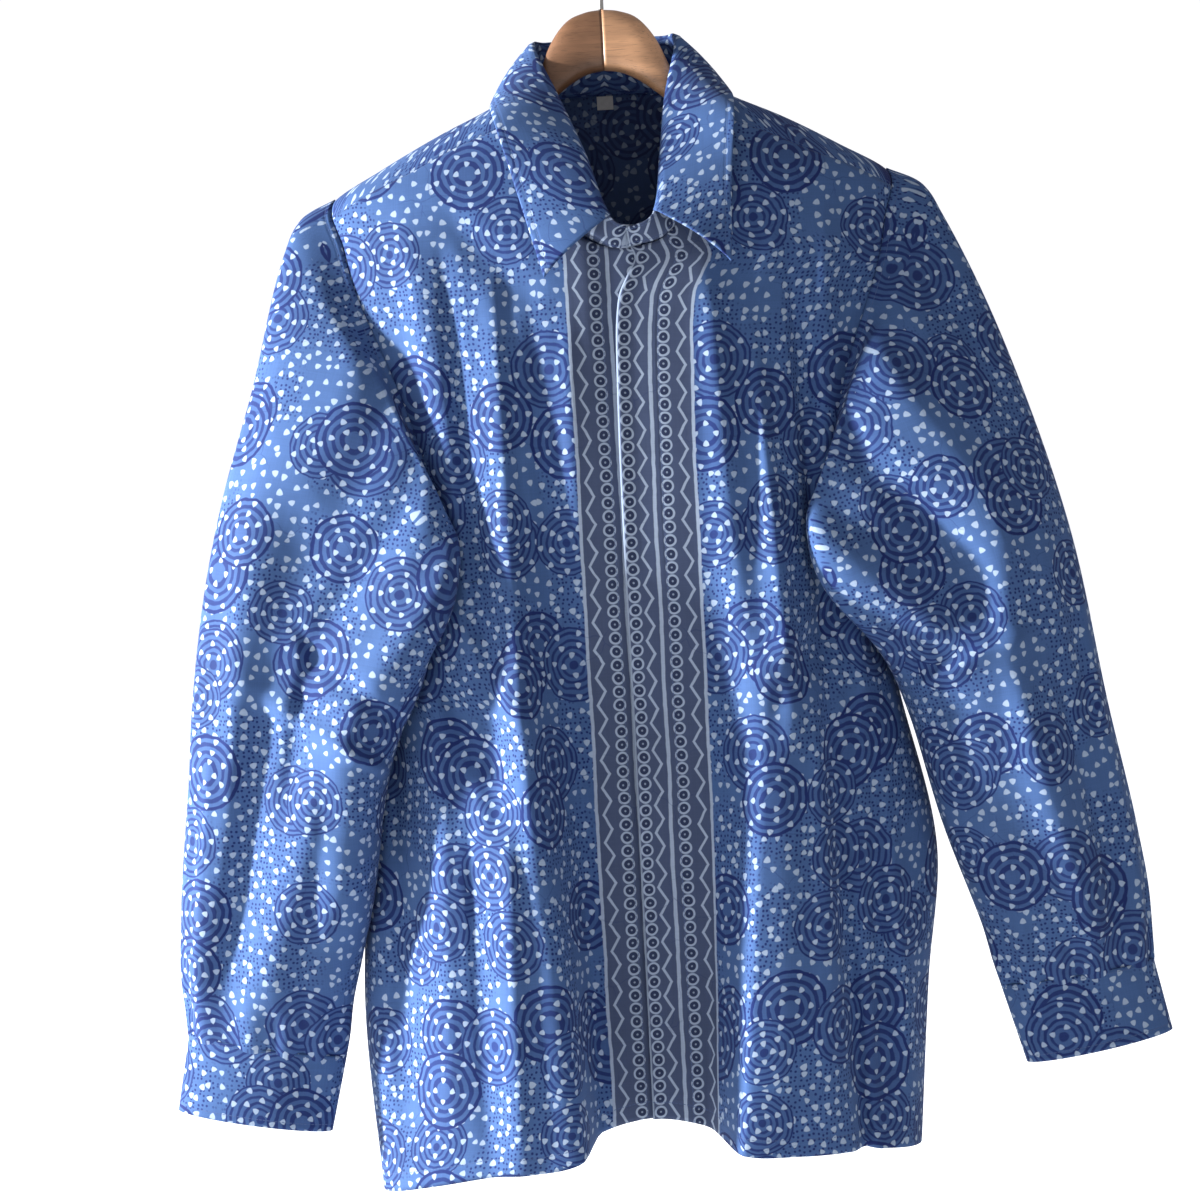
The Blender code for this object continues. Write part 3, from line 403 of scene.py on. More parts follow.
def body(x, z, back):
    """Points of the body's cloth at x and z, on its back or its front."""
    deep = depth_at(x, z, back)
    inward = folds(x, z, BACK_FOLDS if back else FRONT_FOLDS)
    y = deep - (inward - creased(x, z, back)) * ease(deep / 0.04)
    return np.stack([x, y if back else -y, z + 0 * x], axis=-1)


def resampled(points, shares):
    """Points at these shares of a path's length."""
    steps = np.linalg.norm(np.diff(points, axis=0), axis=1)
    length = np.concatenate([[0.0], np.cumsum(steps)])
    at = np.asarray(shares) * length[-1]
    return np.stack([np.interp(at, length, points[:, i]) for i in range(3)], axis=-1)


def armhole_x(side, z, back):
    """x of the armhole's edge, or of the side seam below it."""
    share = np.where(z > UNDERARM_Z, spline(z, ARMHOLE, 2 if back else 1), 1.0)
    return side * (half_width(side, z) * np.clip(share, 0, 1))


def outwards_at(points):
    """Unit vectors straight out of the smooth body at points on it."""
    def level(at):
        x, y, z = at[..., 0], at[..., 1], at[..., 2]
        wide = np.where(x < 0, half_width(-1, z), half_width(1, z))
        deep = np.where(y < 0, spline(z, SECTION, 3), spline(z, SECTION, 4))
        return (np.abs(x) / wide) ** ROUND + (np.abs(y) / deep) ** ROUND
    step = 0.0005
    slope = np.stack([level(points + step * axis) - level(points - step * axis)
                      for axis in np.eye(3)], axis=-1)
    return slope / np.linalg.norm(slope, axis=-1, keepdims=True)


def armhole_path(side):
    """The sleeve's seam, from the shoulder down the front to the underarm, and down the back.

    It laps a little over the body's edge and stands off it.
    """
    t = (1 - np.cos(np.linspace(0, math.pi, 80))) / 2
    z = SHOULDER_Z + (UNDERARM_Z - SHOULDER_Z) * t
    lap = SLEEVE_LAP * np.maximum(np.sin(math.pi * t) ** 0.5, np.where(t < 0.5, 0.8, 0.0))
    halves = []
    for back in (False, True):
        x = armhole_x(side, z, back) - side * lap
        low = z + SLEEVE_LAP * (0.5 - 1.5 * t)
        x = np.sign(x) * np.minimum(np.abs(x), half_width(side, low) * 0.9999)
        seam = np.stack([x, depth_at(x, low, back) * (1 if back else -1), low], axis=-1)
        halves.append(seam + outwards_at(seam) * SLEEVE_LIFT)
    return halves


def top_of_front(x):
    """Height of a front's top edge at x: the neck seam inside, the yoke seam outside."""
    left, right = NECK[0][0], NECK[-1][0]
    neck = spline(x, NECK, 1)
    yoke = spline(np.abs(x), YOKE_FRONT, 1)
    return np.where((x > left) & (x < right), neck, yoke)


def front_x(side, s, z):
    """x at a share s from the outer edge (0) to the free edge (1) of a front."""
    edge = spline(z, LAP_EDGE, 1) if side > 0 else UNDER_EDGE_X + 0 * z
    outer = armhole_x(side, z, False)
    wide = half_width(side, z)
    a0 = np.arcsin(np.clip(np.abs(outer) / wide, 0, 1)) * side
    a1 = np.arcsin(np.clip(edge / np.where(edge < 0, half_width(-1, z), half_width(1, z)), -1, 1))
    straight = SEAM_TURN * side
    angle = straight + (a1 - straight) * s + (a0 - straight) * (1 - s) ** 3
    return np.where(angle < 0, half_width(-1, z), half_width(1, z)) * np.sin(angle)


def front_top(side, s):
    """Height at which the column s meets the front's top edge, by halving."""
    low, high = np.full_like(s, -0.32), np.full_like(s, -0.150)
    for _ in range(40):
        middle = (low + high) / 2
        inside = middle < top_of_front(front_x(side, s, middle))
        low, high = np.where(inside, middle, low), np.where(inside, high, middle)
    return low


def front_grid(side, outer_columns, neck_columns, heights):
    """Points of a front; heights are shares of the way from its top edge down to its hem."""
    fine = np.linspace(0, 1, 800)
    tops = front_top(side, fine)
    corner = fine[np.argmax(np.abs(front_x(side, fine, tops)) < abs(NECK[0 if side < 0 else -1][0]))]
    s = np.concatenate([np.linspace(0, corner, outer_columns + 1)[:-1],
                        np.linspace(corner, 1, neck_columns + 1)])
    top = front_top(side, s)
    hem = spline(front_x(side, s, -0.875 + 0 * s), FRONT_HEM, 1)
    z = top[None, :] + (hem - top)[None, :] * heights[:, None]
    x = front_x(side, s[None, :] + 0 * z, z)
    points = body(x, z, False)
    if side < 0:
        reach = ease((x + 0.026) / 0.022)
        points[..., 1] += PLACKET_BEHIND * reach
    else:
        edge = spline(z, LAP_EDGE, 1)
        points[..., 1] -= LAP_RISE * np.exp(-((x - edge) / 0.007) ** 2) * ease((-0.25 - z) / 0.03)
    return points


def back_grid(columns, t):
    """Points of the back; t are shares of the way down."""
    s = np.linspace(-1, 1, columns)[None, :]
    hem = spline(0.20 * np.sin(s * math.pi / 2), BACK_HEM, 1)
    z = BACK_YOKE_Z + (hem - BACK_YOKE_Z) * t[:, None]
    side = np.where(s < 0, -1, 1)
    limit = np.where(side < 0, np.abs(armhole_x(-1, z, True)), np.abs(armhole_x(1, z, True)))
    wide = np.where(side < 0, half_width(-1, z), half_width(1, z))
    angle = SEAM_TURN * s + (np.arcsin(np.clip(limit / wide, 0, 1)) - SEAM_TURN) * s**3
    return body(wide * np.sin(angle), z, True)


def yoke_grid(wing_columns, neck_columns, back_rows, front_rows):
    """From the back seam up to the shoulder line or the back of the neck, then to the front seam.

    Inside the neck the last rows only mark time: they are the notch that the sheet leaves out.
    """
    wing = np.linspace(NECK_HALF + 0.0010, YOKE_HALF, wing_columns)
    xs = np.concatenate([-wing[::-1], np.linspace(-NECK_HALF, NECK_HALF, neck_columns), wing])
    grid = np.zeros((back_rows + front_rows, len(xs), 3))
    ease_out = (1 - np.cos(np.linspace(0, math.pi, 80))) / 2
    low = BACK_YOKE_Z
    for i, x in enumerate(xs):
        side = -1 if x < 0 else 1
        if abs(x) < NECK_HALF + 0.001:
            crest = BACK_NECK_Z[0] + BACK_NECK_Z[1] * (abs(x) / NECK_HALF) ** 2 - 0.0012
        else:
            heights = np.linspace(-0.12, -0.215, 4000)
            crest = heights[np.argmax(half_width(side, heights) > abs(x))]
        behind = body(x + 0 * ease_out, low + (crest - low) * ease_out, True)
        grid[:back_rows, i] = resampled(behind, np.linspace(0, 1, back_rows))
        seam = float(spline(abs(x), YOKE_FRONT, 1))
        ahead = body(x + 0 * ease_out, crest + (seam - crest) * ease_out, False)
        grid[back_rows:, i] = resampled(ahead, np.linspace(0, 1, front_rows + 1))[1:]
    return grid


def clear_of_body(points, gap):
    """Points moved out from the body's middle line until they stand clear of its cloth."""
    x, y, z = points[..., 0], points[..., 1], points[..., 2]
    gap = gap * (1 + 1.6 * ease((y + 0.01) / 0.02))
    wide = np.where(x < 0, half_width(-1, z), half_width(1, z)) + gap
    deep = np.where(y < 0, spline(z, SECTION, 3), spline(z, SECTION, 4)) + gap
    inside = (np.abs(x) / wide) ** ROUND + (np.abs(y) / deep) ** ROUND
    scale = np.where(inside < 1, np.maximum(inside, 0.05) ** (-1 / ROUND), 1.0)
    scale = 1 + (scale - 1) * ease((UNDERARM_Z + 0.14 - z) / 0.08)
    return np.stack([x * scale, y * scale, z], axis=-1)


def sleeve_point(side, v, r):
    """Sleeve cloth: v down the sleeve, r round it (0 outer, 0.25 front, 0.5 inner, 0.75 back)."""
    table = SLEEVE_LEFT if side < 0 else SLEEVE_RIGHT
    read = lambda column: spline(v, table, column)
    outer = np.stack([read(1), read(2)])
    inner = np.stack([read(3), read(4)])
    turn = 2 * math.pi * r
    middle, reach = (outer + inner) / 2, (outer - inner) / 2
    section = np.stack([side * (middle[0] + reach[0] * np.cos(turn)),
                        read(5) - read(6) * np.sin(turn),
                        middle[1] + reach[1] * np.cos(turn)], axis=-1)
    front, behind = armhole_path(side)
    shares = np.clip(np.where(r <= 0.5, 2 * r, 2 - 2 * r), 0, 1)
    arm = np.where((r <= 0.5)[..., None], resampled(front, shares.ravel()).reshape(*r.shape, 3),
                   resampled(behind, shares.ravel()).reshape(*r.shape, 3))
    outer0, inner0 = np.array(table[0][1:3]), np.array(table[0][3:5])
    middle0, reach0 = (outer0 + inner0) / 2, (outer0 - inner0) / 2
    start = np.stack([side * (middle0[0] + reach0[0] * np.cos(turn)), -table[0][6] * np.sin(turn),
                      middle0[1] + reach0[1] * np.cos(turn)], axis=-1)
    blend = 1 - ease(v / 0.42)
    points = section + blend[..., None] * (arm - start)
    for round_at, wide, along, long, inward, forward in SLEEVE_FOLDS:
        near = np.abs((r - round_at + 0.5) % 1.0 - 0.5) / wide
        amount = np.exp(-near**2) * np.exp(-((v - along) / long) ** 2)
        amount = amount * ease(v / 0.06) * ease((1 - v) / 0.08)
        points[..., 0] -= side * inward * amount
        points[..., 1] -= forward * amount
    return points


def sleeve_creases(side, v, r):
    """Creases and cuff gathers of a sleeve, as a height along its normals."""
    rows = CREASES_ON_LEFT if side < 0 else CREASES_ON_RIGHT
    around = ((r + 0.5) % 1.0 - 0.5) * SLEEVE_ROUND
    fade = ease(v / 0.08) * ease((0.995 - v) / 0.05)
    height = along_creases(around, v * SLEEVE_LONG, rows) * fade
    wave = np.sin(2 * math.pi * GATHERS * r + 1.3 * np.sin(2 * math.pi * 3 * r + 0.6))
    near_cuff = ease((v - 0.86) / 0.09) * ease((1.0 - v) / 0.02)
    return height + GATHER_DEEP * wave * near_cuff


def sleeve_surface(side, v, r):
    """The sleeve's cloth, lapping the armhole's edge at its top and clear of the body below."""
    points = sleeve_point(side, v, r)
    points = points + (clear_of_body(points, SLEEVE_GAP) - points) * ease(v / SEAM_SHARE)[..., None]
    tuck = cuff_point(side, 0.10 + 0 * v, (r - CUFF_START) % 1.0, -0.0012 + 0 * v)
    return points + (tuck - points) * ease((v - 0.955) / 0.045)[..., None]


def sleeve_grid(side, around, rows):
    """A sleeve with its creases. It runs round from the underarm line, so that the seam lies there."""
    v, turn = np.meshgrid(np.linspace(0, 1, rows), np.linspace(0.5, 1.5, around + 1), indexing="ij")
    points = sleeve_surface(side, v, turn % 1.0)
    points = lifted_out(points, sleeve_creases(side, v, turn % 1.0))
    free = ease(v / SEAM_SHARE)[..., None]
    points = clear_of_body(points, CREASE_GAP) * free + points * (1 - free)
    points[:, -1] = points[:, 0]
    return points


def lifted(points, amount):
    """A grid moved along its own normals by amount."""
    across, down = np.gradient(points, axis=1), np.gradient(points, axis=0)
    normal = np.cross(across, down)
    normal /= np.linalg.norm(normal, axis=-1, keepdims=True)
    return points + normal * amount


def lifted_out(points, amount):
    """A tube's grid moved along its normals, away from its own middle."""
    moved = lifted(points, 1e-4)
    middle = points.mean(axis=1, keepdims=True)
    sign = 1.0 if np.sum((moved - points) * (points - middle)) > 0 else -1.0
    return lifted(points, sign * amount[..., None])


def sleeve_placket_grid(side):
    """The faced slit above the cuff, a strip lying on the hidden side of the sleeve."""
    v, r = np.meshgrid(np.linspace(0.800, 0.950, 40), np.linspace(0.715, 0.795, 14), indexing="ij")
    points = sleeve_surface(side, v, r)
    centre = sleeve_surface(side, v, r + 0.5)
    heights = sleeve_creases(side, v, r)[..., None] + 0.0011
    away = np.sum((lifted(points, 0.0019) - points) * (points - centre)) > 0
    return lifted(points, heights if away else -heights)


def cuff_point(side, v, turns, out):
    """Cuff cloth: v down it, turns round it from its under end, and how far out it stands."""
    top, bottom = CUFF_LEFT if side < 0 else CUFF_RIGHT
    mix = lambda i: top[i] + (bottom[i] - top[i]) * v
    turn = 2 * math.pi * (turns + CUFF_START)
    middle = ((mix(0) + mix(2)) / 2, (mix(1) + mix(3)) / 2)
    reach = ((mix(0) - mix(2)) / 2, (mix(1) - mix(3)) / 2)
    grow = 1 + out / 0.035
    return np.stack([side * (middle[0] + reach[0] * np.cos(turn) * (1 + out / 0.053)),
                     CUFF_Y - (mix(4) * grow) * np.sin(turn),
                     middle[1] + reach[1] * np.cos(turn)], axis=-1)


def cuff_grid(side, around, rows):
    """A cuff wrapped once round, with its lapping end standing out over the start."""
    v, turns = np.meshgrid(np.linspace(0, 1, rows), np.linspace(0, CUFF_TURNS, around), indexing="ij")
    out = CUFF_LAP_OUT * ease((turns - 0.86) / 0.14)
    return cuff_point(side, v, turns, out)


def collar_lines(samples, first, last):
    """Neck seam, fold and outer edge of the collar between two stations, as smooth lines."""
    stations = []
    for i, row in enumerate(COLLAR):
        front, seam_x = row[0], row[1]
        if front:
            seam_z = float(spline(seam_x, NECK, 1)) if abs(seam_x) < NECK_SIDE[0] else NECK_SIDE[1]
            seam = body(np.array([seam_x]), np.array([seam_z]), False)[0]
        else:
            seam_z = BACK_NECK_Z[0] + BACK_NECK_Z[1] * (abs(seam_x) / NECK_HALF) ** 2
            seam = body(np.array([seam_x]), np.array([seam_z]), True)[0]
        if i <= 1:
            seam[1] += PLACKET_BEHIND
        inwards = np.array(NECK_CENTRE) - seam
        seam = seam + inwards / np.linalg.norm(inwards) * STAND_INSIDE
        stations.append((i, *seam, *row[2:5], *row[5:8]))
    at = np.linspace(first, last, samples)
    seams = np.stack([spline(at, stations, c) for c in (1, 2, 3)], axis=-1)
    fold = np.stack([spline(at, stations, c) for c in (4, 5, 6)], axis=-1)
    inner = [row for row in stations if LEAF_ENDS[0] <= row[0] <= LEAF_ENDS[1]]
    edge = np.stack([spline(at, inner, c) for c in (7, 8, 9)], axis=-1)
    return seams, fold, edge


def stand_grid(columns, rows):
    """The collar's stand, from the neck seam up to the fold."""
    seam, fold, _ = collar_lines(columns, *STAND_ENDS)
    b = np.linspace(0, 1, rows)[:, None, None]
    return seam[None] + (fold[None] - seam[None]) * b


def leaf_grid(columns, rows):
    """The collar's leaf: rolls outwards from the fold and comes down to its outer edge."""
    _, fold, edge = collar_lines(columns, *LEAF_ENDS)
    b = np.linspace(0, 1, rows)[:, None, None]
    points = fold[None] + (edge[None] - fold[None]) * b
    away = points - np.array(LEAF_CENTRE)
    away[..., 2] = 0.35 * np.linalg.norm(away[..., :2], axis=-1)
    away /= np.linalg.norm(away, axis=-1, keepdims=True)
    bow = 0.0020 * ease(b / 0.05) + LEAF_BOW * np.sin(math.pi * b) ** 0.7
    points = points + away * bow
    points[..., 2] += 0.0010 * np.exp(-(b[..., 0] / 0.05) ** 2)
    return points


# ---- Node helpers ------------------------------------------------------------------------------
class Net:
    """Adds nodes to a tree and joins them."""

    def __init__(self, tree):
        self.tree = tree

    def add(self, kind, **settings):
        node = self.tree.nodes.new(kind)
        for name, value in settings.items():
            setattr(node, name, value)
        return node

    def put(self, socket, value):
        if isinstance(value, bpy.types.NodeSocket):
            self.tree.links.new(value, socket)
        else:
            socket.default_value = value

    def math(self, operation, *values, clamp=False):
        node = self.add("ShaderNodeMath", operation=operation, use_clamp=clamp)
        for socket, value in zip(node.inputs, values):
            self.put(socket, value)
        return node.outputs[0]

    def vector(self, operation, *values):
        node = self.add("ShaderNodeVectorMath", operation=operation)
        for socket, value in zip(node.inputs, values):
            self.put(socket, value)
        return node.outputs["Value" if operation in ("LENGTH", "DOT_PRODUCT") else "Vector"]

    def scaled(self, vector, factor):
        node = self.add("ShaderNodeVectorMath", operation="SCALE")
        self.put(node.inputs[0], vector)
        self.put(node.inputs["Scale"], factor)
        return node.outputs["Vector"]

    def parts(self, vector):
        node = self.add("ShaderNodeSeparateXYZ")
        self.put(node.inputs[0], vector)
        return node.outputs

    def joined(self, x, y, z=0.0):
        node = self.add("ShaderNodeCombineXYZ")
        for socket, value in zip(node.inputs, (x, y, z)):
            self.put(socket, value)
        return node.outputs[0]

    def inside(self, value, edge, soft):
        """1 where value is below edge, 0 above it, over a soft step."""
        return self.math("MULTIPLY_ADD", self.math("SUBTRACT", edge, value), 1 / soft, 0.5, clamp=True)

    def blend(self, factor, a, b):
        node = self.add("ShaderNodeMix", data_type="FLOAT")
        self.put(node.inputs[0], factor)
        self.put(node.inputs[2], a)
        self.put(node.inputs[3], b)
        return node.outputs[0]

    def tint(self, factor, a, b, kind="MIX"):
        node = self.add("ShaderNodeMix", data_type="RGBA", blend_type=kind)
        self.put(node.inputs[0], factor)
        self.put(node.inputs[6], a)
        self.put(node.inputs[7], b)
        return node.outputs[2]

    def ramp(self, factor, stops):
        """A grey ramp through stops of (position, value)."""
        node = self.add("ShaderNodeValToRGB")
        elements = node.color_ramp.elements
        while len(elements) > 1:
            elements.remove(elements[-1])
        elements[0].position = stops[0][0]
        elements[0].color = (stops[0][1],) * 3 + (1.0,)
        for at, value in stops[1:]:
            elements.new(at).color = (value,) * 3 + (1.0,)
        self.put(node.inputs[0], factor)
        return node.outputs[0]

    def noise(self, vector, scale, detail, rough=0.5):
        node = self.add("ShaderNodeTexNoise")
        self.put(node.inputs["Vector"], vector)
        for name, value in (("Scale", scale), ("Detail", detail), ("Roughness", rough)):
            self.put(node.inputs[name], value)
        return node.outputs

    def cells(self, vector, scale, randomness):
        node = self.add("ShaderNodeTexVoronoi", voronoi_dimensions="2D")
        self.put(node.inputs["Vector"], vector)
        self.put(node.inputs["Scale"], scale)
        self.put(node.inputs["Randomness"], randomness)
        return node.outputs

    def chance(self, vector):
        node = self.add("ShaderNodeTexWhiteNoise", noise_dimensions="3D")
        self.put(node.inputs["Vector"], vector)
        return node.outputs

    def group(self, tree, **values):
        node = self.add("ShaderNodeGroup", node_tree=tree)
        for name, value in values.items():
            self.put(node.inputs[name.replace("_", " ")], value)
        return node.outputs


def new_group(name, inputs, outputs):
    """(net, group inputs, group outputs) of a shader group; made once and then reused."""
    tree = bpy.data.node_groups.new(name, "ShaderNodeTree")
    for label, default in inputs:
        kind = "NodeSocketFloat" if default is not None else "NodeSocketVector"
        socket = tree.interface.new_socket(name=label, in_out="INPUT", socket_type=kind)
        if default is not None:
            socket.default_value = default
    for label in outputs:
        tree.interface.new_socket(name=label, in_out="OUTPUT", socket_type="NodeSocketFloat")
    net = Net(tree)
    given = net.add("NodeGroupInput").outputs
    gives = net.add("NodeGroupOutput").inputs
    return net, given, gives


def once(name, build):
    """The node group of that name, built on first use."""
    return bpy.data.node_groups.get(name) or build(name)


# ---- Print and cloth groups --------------------------------------------------------------------
def triangle_group(name):
    """A pale mark: a triangle with rounded corners, 1 inside and 0 outside."""
    net, given, gives = new_group(name, (("Offset", None), ("Turn", 0.0), ("Size", 0.0022)), ("Mask",))
    turned = net.add("ShaderNodeVectorRotate", rotation_type="Z_AXIS")
    net.put(turned.inputs["Vector"], given["Offset"])
    net.put(turned.inputs["Angle"], given["Turn"])
    sides = [net.vector("DOT_PRODUCT", turned.outputs[0], way)
             for way in ((0.0, -1.0, 0.0), (0.866, 0.5, 0.0), (-0.866, 0.5, 0.0))]
    flat = net.math("MAXIMUM", net.math("MAXIMUM", sides[0], sides[1]), sides[2])
    round_off = net.math("MULTIPLY", net.vector("LENGTH", turned.outputs[0]), 0.46)
    level = net.math("MULTIPLY_ADD", flat, 0.52, round_off)
    net.put(gives["Mask"], net.inside(level, given["Size"], 0.0005))
    return net.tree


def ring_of_triangles(net, offset, turns, phase, count, radius, size):
    """Mask of triangles set evenly round a circle."""
    place_at = net.math("DIVIDE", net.math("ROUND", net.math("MULTIPLY", turns, count)), count)
    angle = net.math("MULTIPLY", net.math("SUBTRACT", place_at, phase), 2 * math.pi)
    x = net.math("MULTIPLY", net.math("COSINE", angle), radius)
    y = net.math("MULTIPLY", net.math("SINE", angle), radius)
    local = net.vector("SUBTRACT", offset, net.joined(x, y))
    turn = net.math("MULTIPLY_ADD", place_at, 29.0, net.math("MULTIPLY", phase, 9.0))
    return net.group(once("Rounded triangle", triangle_group), Offset=local, Turn=turn, Size=size)[0]


# Rings of the two kinds of medallion, from the middle out: share of the radius and depth of dye.
FINE_RINGS = (
    (0.00, 0.90), (0.12, 0.90), (0.15, 0.20), (0.25, 0.20), (0.275, 0.88), (0.325, 0.88), (0.35, 0.20),
    (0.42, 0.20), (0.445, 0.92), (0.50, 0.92), (0.525, 0.22), (0.60, 0.22), (0.625, 0.88), (0.675, 0.88),
    (0.70, 0.18), (0.79, 0.18), (0.815, 0.92), (0.865, 0.92), (0.89, 0.20), (0.94, 0.20), (0.955, 0.95),
    (1.0, 0.95),
)
BOLD_RINGS = (
    (0.00, 0.22), (0.22, 0.22), (0.25, 0.92), (0.36, 0.92), (0.385, 0.22), (0.47, 0.22), (0.49, 0.88),
    (0.57, 0.88), (0.595, 0.20), (0.68, 0.20), (0.70, 0.90), (0.79, 0.90), (0.815, 0.18), (0.90, 0.18),
    (0.92, 1.00), (1.0, 1.00),
)
MEDALLION_RADIUS = (0.0215, 0.0060)  # the least, and how much more by chance
# Pale marks set round a medallion: how many, and at what share of its radius.
MARKS_ROUND = ((9.0, 0.86), (7.0, 0.56), (4.0, 0.28))
MARK_SIZE = 0.00168
SCATTERED_SIZE = (0.00150, 0.0005)   # the least, and how much more by chance
DOTS_PER_METRE = 290.0


def medallion_group(name):
    """One layer of ringed medallions, each placed by chance inside its own square cell."""
    net, given, gives = new_group(name, (
        ("Vector", None), ("Shift", None), ("Cell", 0.09), ("Seed", 1.0), ("Share", 0.85), ("Wobble", 0.0),
        ("Under Dark", 0.0), ("Under Light", 0.0), ("Under Cover", 0.0)), ("Dark", "Light", "Cover"))
    p = net.scaled(net.vector("ADD", given["Vector"], given["Shift"]),
                   net.math("DIVIDE", 1.0, given["Cell"]))
    index = net.vector("FLOOR", p)
    seeded = net.vector("ADD", index, net.joined(given["Seed"], 0.37, given["Seed"]))
    first = net.chance(seeded)
    second = net.chance(net.vector("ADD", seeded, (11.3, 5.9, 2.1)))
    jitter = net.vector("MULTIPLY", net.vector("SUBTRACT", first["Color"], (0.5, 0.5, 0.5)),
                        (0.38, 0.38, 0.0))
    centre = net.vector("ADD", net.vector("ADD", index, (0.5, 0.5, 0.0)), jitter)
    offset = net.scaled(net.vector("SUBTRACT", p, centre), given["Cell"])
    least, more = MEDALLION_RADIUS
    radius = net.math("MULTIPLY_ADD", net.parts(first["Color"])[2], more, least)
    away = net.math("ADD", net.vector("LENGTH", offset), given["Wobble"])
    share = net.math("DIVIDE", away, radius)
    kinds = net.parts(second["Color"])
    fine = net.ramp(share, FINE_RINGS)
    bold = net.ramp(share, BOLD_RINGS)
    rings = net.blend(net.math("GREATER_THAN", kinds[0], 0.52), fine, bold)
    shown = net.math("LESS_THAN", first["Value"], given["Share"])
    cover = net.math("MULTIPLY", net.inside(away, radius, 0.0006), shown)
    xyz = net.parts(offset)
    turns = net.math("MULTIPLY_ADD", net.math("ARCTAN2", xyz[1], xyz[0]), 1 / (2 * math.pi), kinds[1])
    marks = [ring_of_triangles(net, offset, turns, kinds[1], count, net.math("MULTIPLY", radius, at),
                               MARK_SIZE) for count, at in MARKS_ROUND]
    light = net.math("MAXIMUM", net.math("MAXIMUM", marks[0], marks[1]), marks[2])
    net.put(gives["Dark"], net.blend(cover, given["Under Dark"], rings))
    net.put(gives["Light"], net.blend(cover, given["Under Light"], light))
    net.put(gives["Cover"], net.math("MAXIMUM", given["Under Cover"], cover))
    return net.tree


# Layers of medallions, lowest first: cell, shift across and down, seed, share of cells filled.
MEDALLION_LAYERS = (
    (0.084, 0.013, 0.021, 3.0, 0.80),
    (0.088, 0.049, 0.058, 17.0, 0.72),
    (0.086, 0.061, 0.010, 29.0, 0.64),
    (0.093, 0.022, 0.074, 41.0, 0.56),
)


def figure_group(name):
    """The batik's overall figure: medallions, scattered triangles and fields of fine dots."""
    net, given, gives = new_group(name, (("Vector", None), ("Spacing", 0.0135)), ("Dark", "Light", "Dots"))
    warp = net.noise(given["Vector"], 60.0, 1.0)
    nudge = net.scaled(net.vector("SUBTRACT", warp["Color"], (0.5, 0.5, 0.5)), 0.0028)
    vector = net.vector("ADD", given["Vector"], net.vector("MULTIPLY", nudge, (1.0, 1.0, 0.0)))
    wobble = net.math("MULTIPLY_ADD", net.noise(vector, 150.0, 1.0)[0], 0.0018, -0.0009)
    scatter = net.cells(vector, net.math("DIVIDE", 1.0, given["Spacing"]), 0.72)
    own = net.parts(scatter["Color"])
    offset = net.vector("SUBTRACT", vector, scatter["Position"])
    light = net.group(once("Rounded triangle", triangle_group), Offset=offset,
                      Turn=net.math("MULTIPLY", own[0], 40.0),
                      Size=net.math("MULTIPLY_ADD", own[1], SCATTERED_SIZE[1], SCATTERED_SIZE[0]))[0]
    layer = {"Dark": 0.0, "Light": light, "Cover": 0.0}
    for cell, across, down, seed, filled in MEDALLION_LAYERS:
        outputs = net.group(once("Medallion layer", medallion_group), Vector=vector,
                            Shift=(across, down, 0.0), Cell=cell, Seed=seed, Share=filled, Wobble=wobble,
                            Under_Dark=layer["Dark"], Under_Light=layer["Light"], Under_Cover=layer["Cover"])
        layer = {key: outputs[key] for key in layer}
    dots = net.cells(vector, DOTS_PER_METRE, 0.55)
    dot = net.inside(dots["Distance"], 0.24, 0.16)
    field = net.inside(0.47, net.noise(given["Vector"], 17.0, 1.0)[0], 0.05)
    open_ground = net.math("SUBTRACT", 1.0, net.math("MAXIMUM", layer["Cover"], layer["Light"]), clamp=True)
    net.put(gives["Dark"], layer["Dark"])
    net.put(gives["Light"], layer["Light"])
    net.put(gives["Dots"], net.math("MULTIPLY", net.math("MULTIPLY", dot, field), open_ground))
    return net.tree


# Rows of the printed border, from the free edge inwards, in metres.
CIRCLE_ROWS = (0.0055, 0.0320)
ZIGZAG_ROWS = (0.0150, 0.0440)
LINE_ROWS = (0.0228, 0.0516)
CIRCLE_PITCH = 0.0092
ZIGZAG_PITCH = 0.0190
ZIGZAG_REACH = 0.0028
RING_RADIUS = 0.0037
RING_CORE = 0.0029


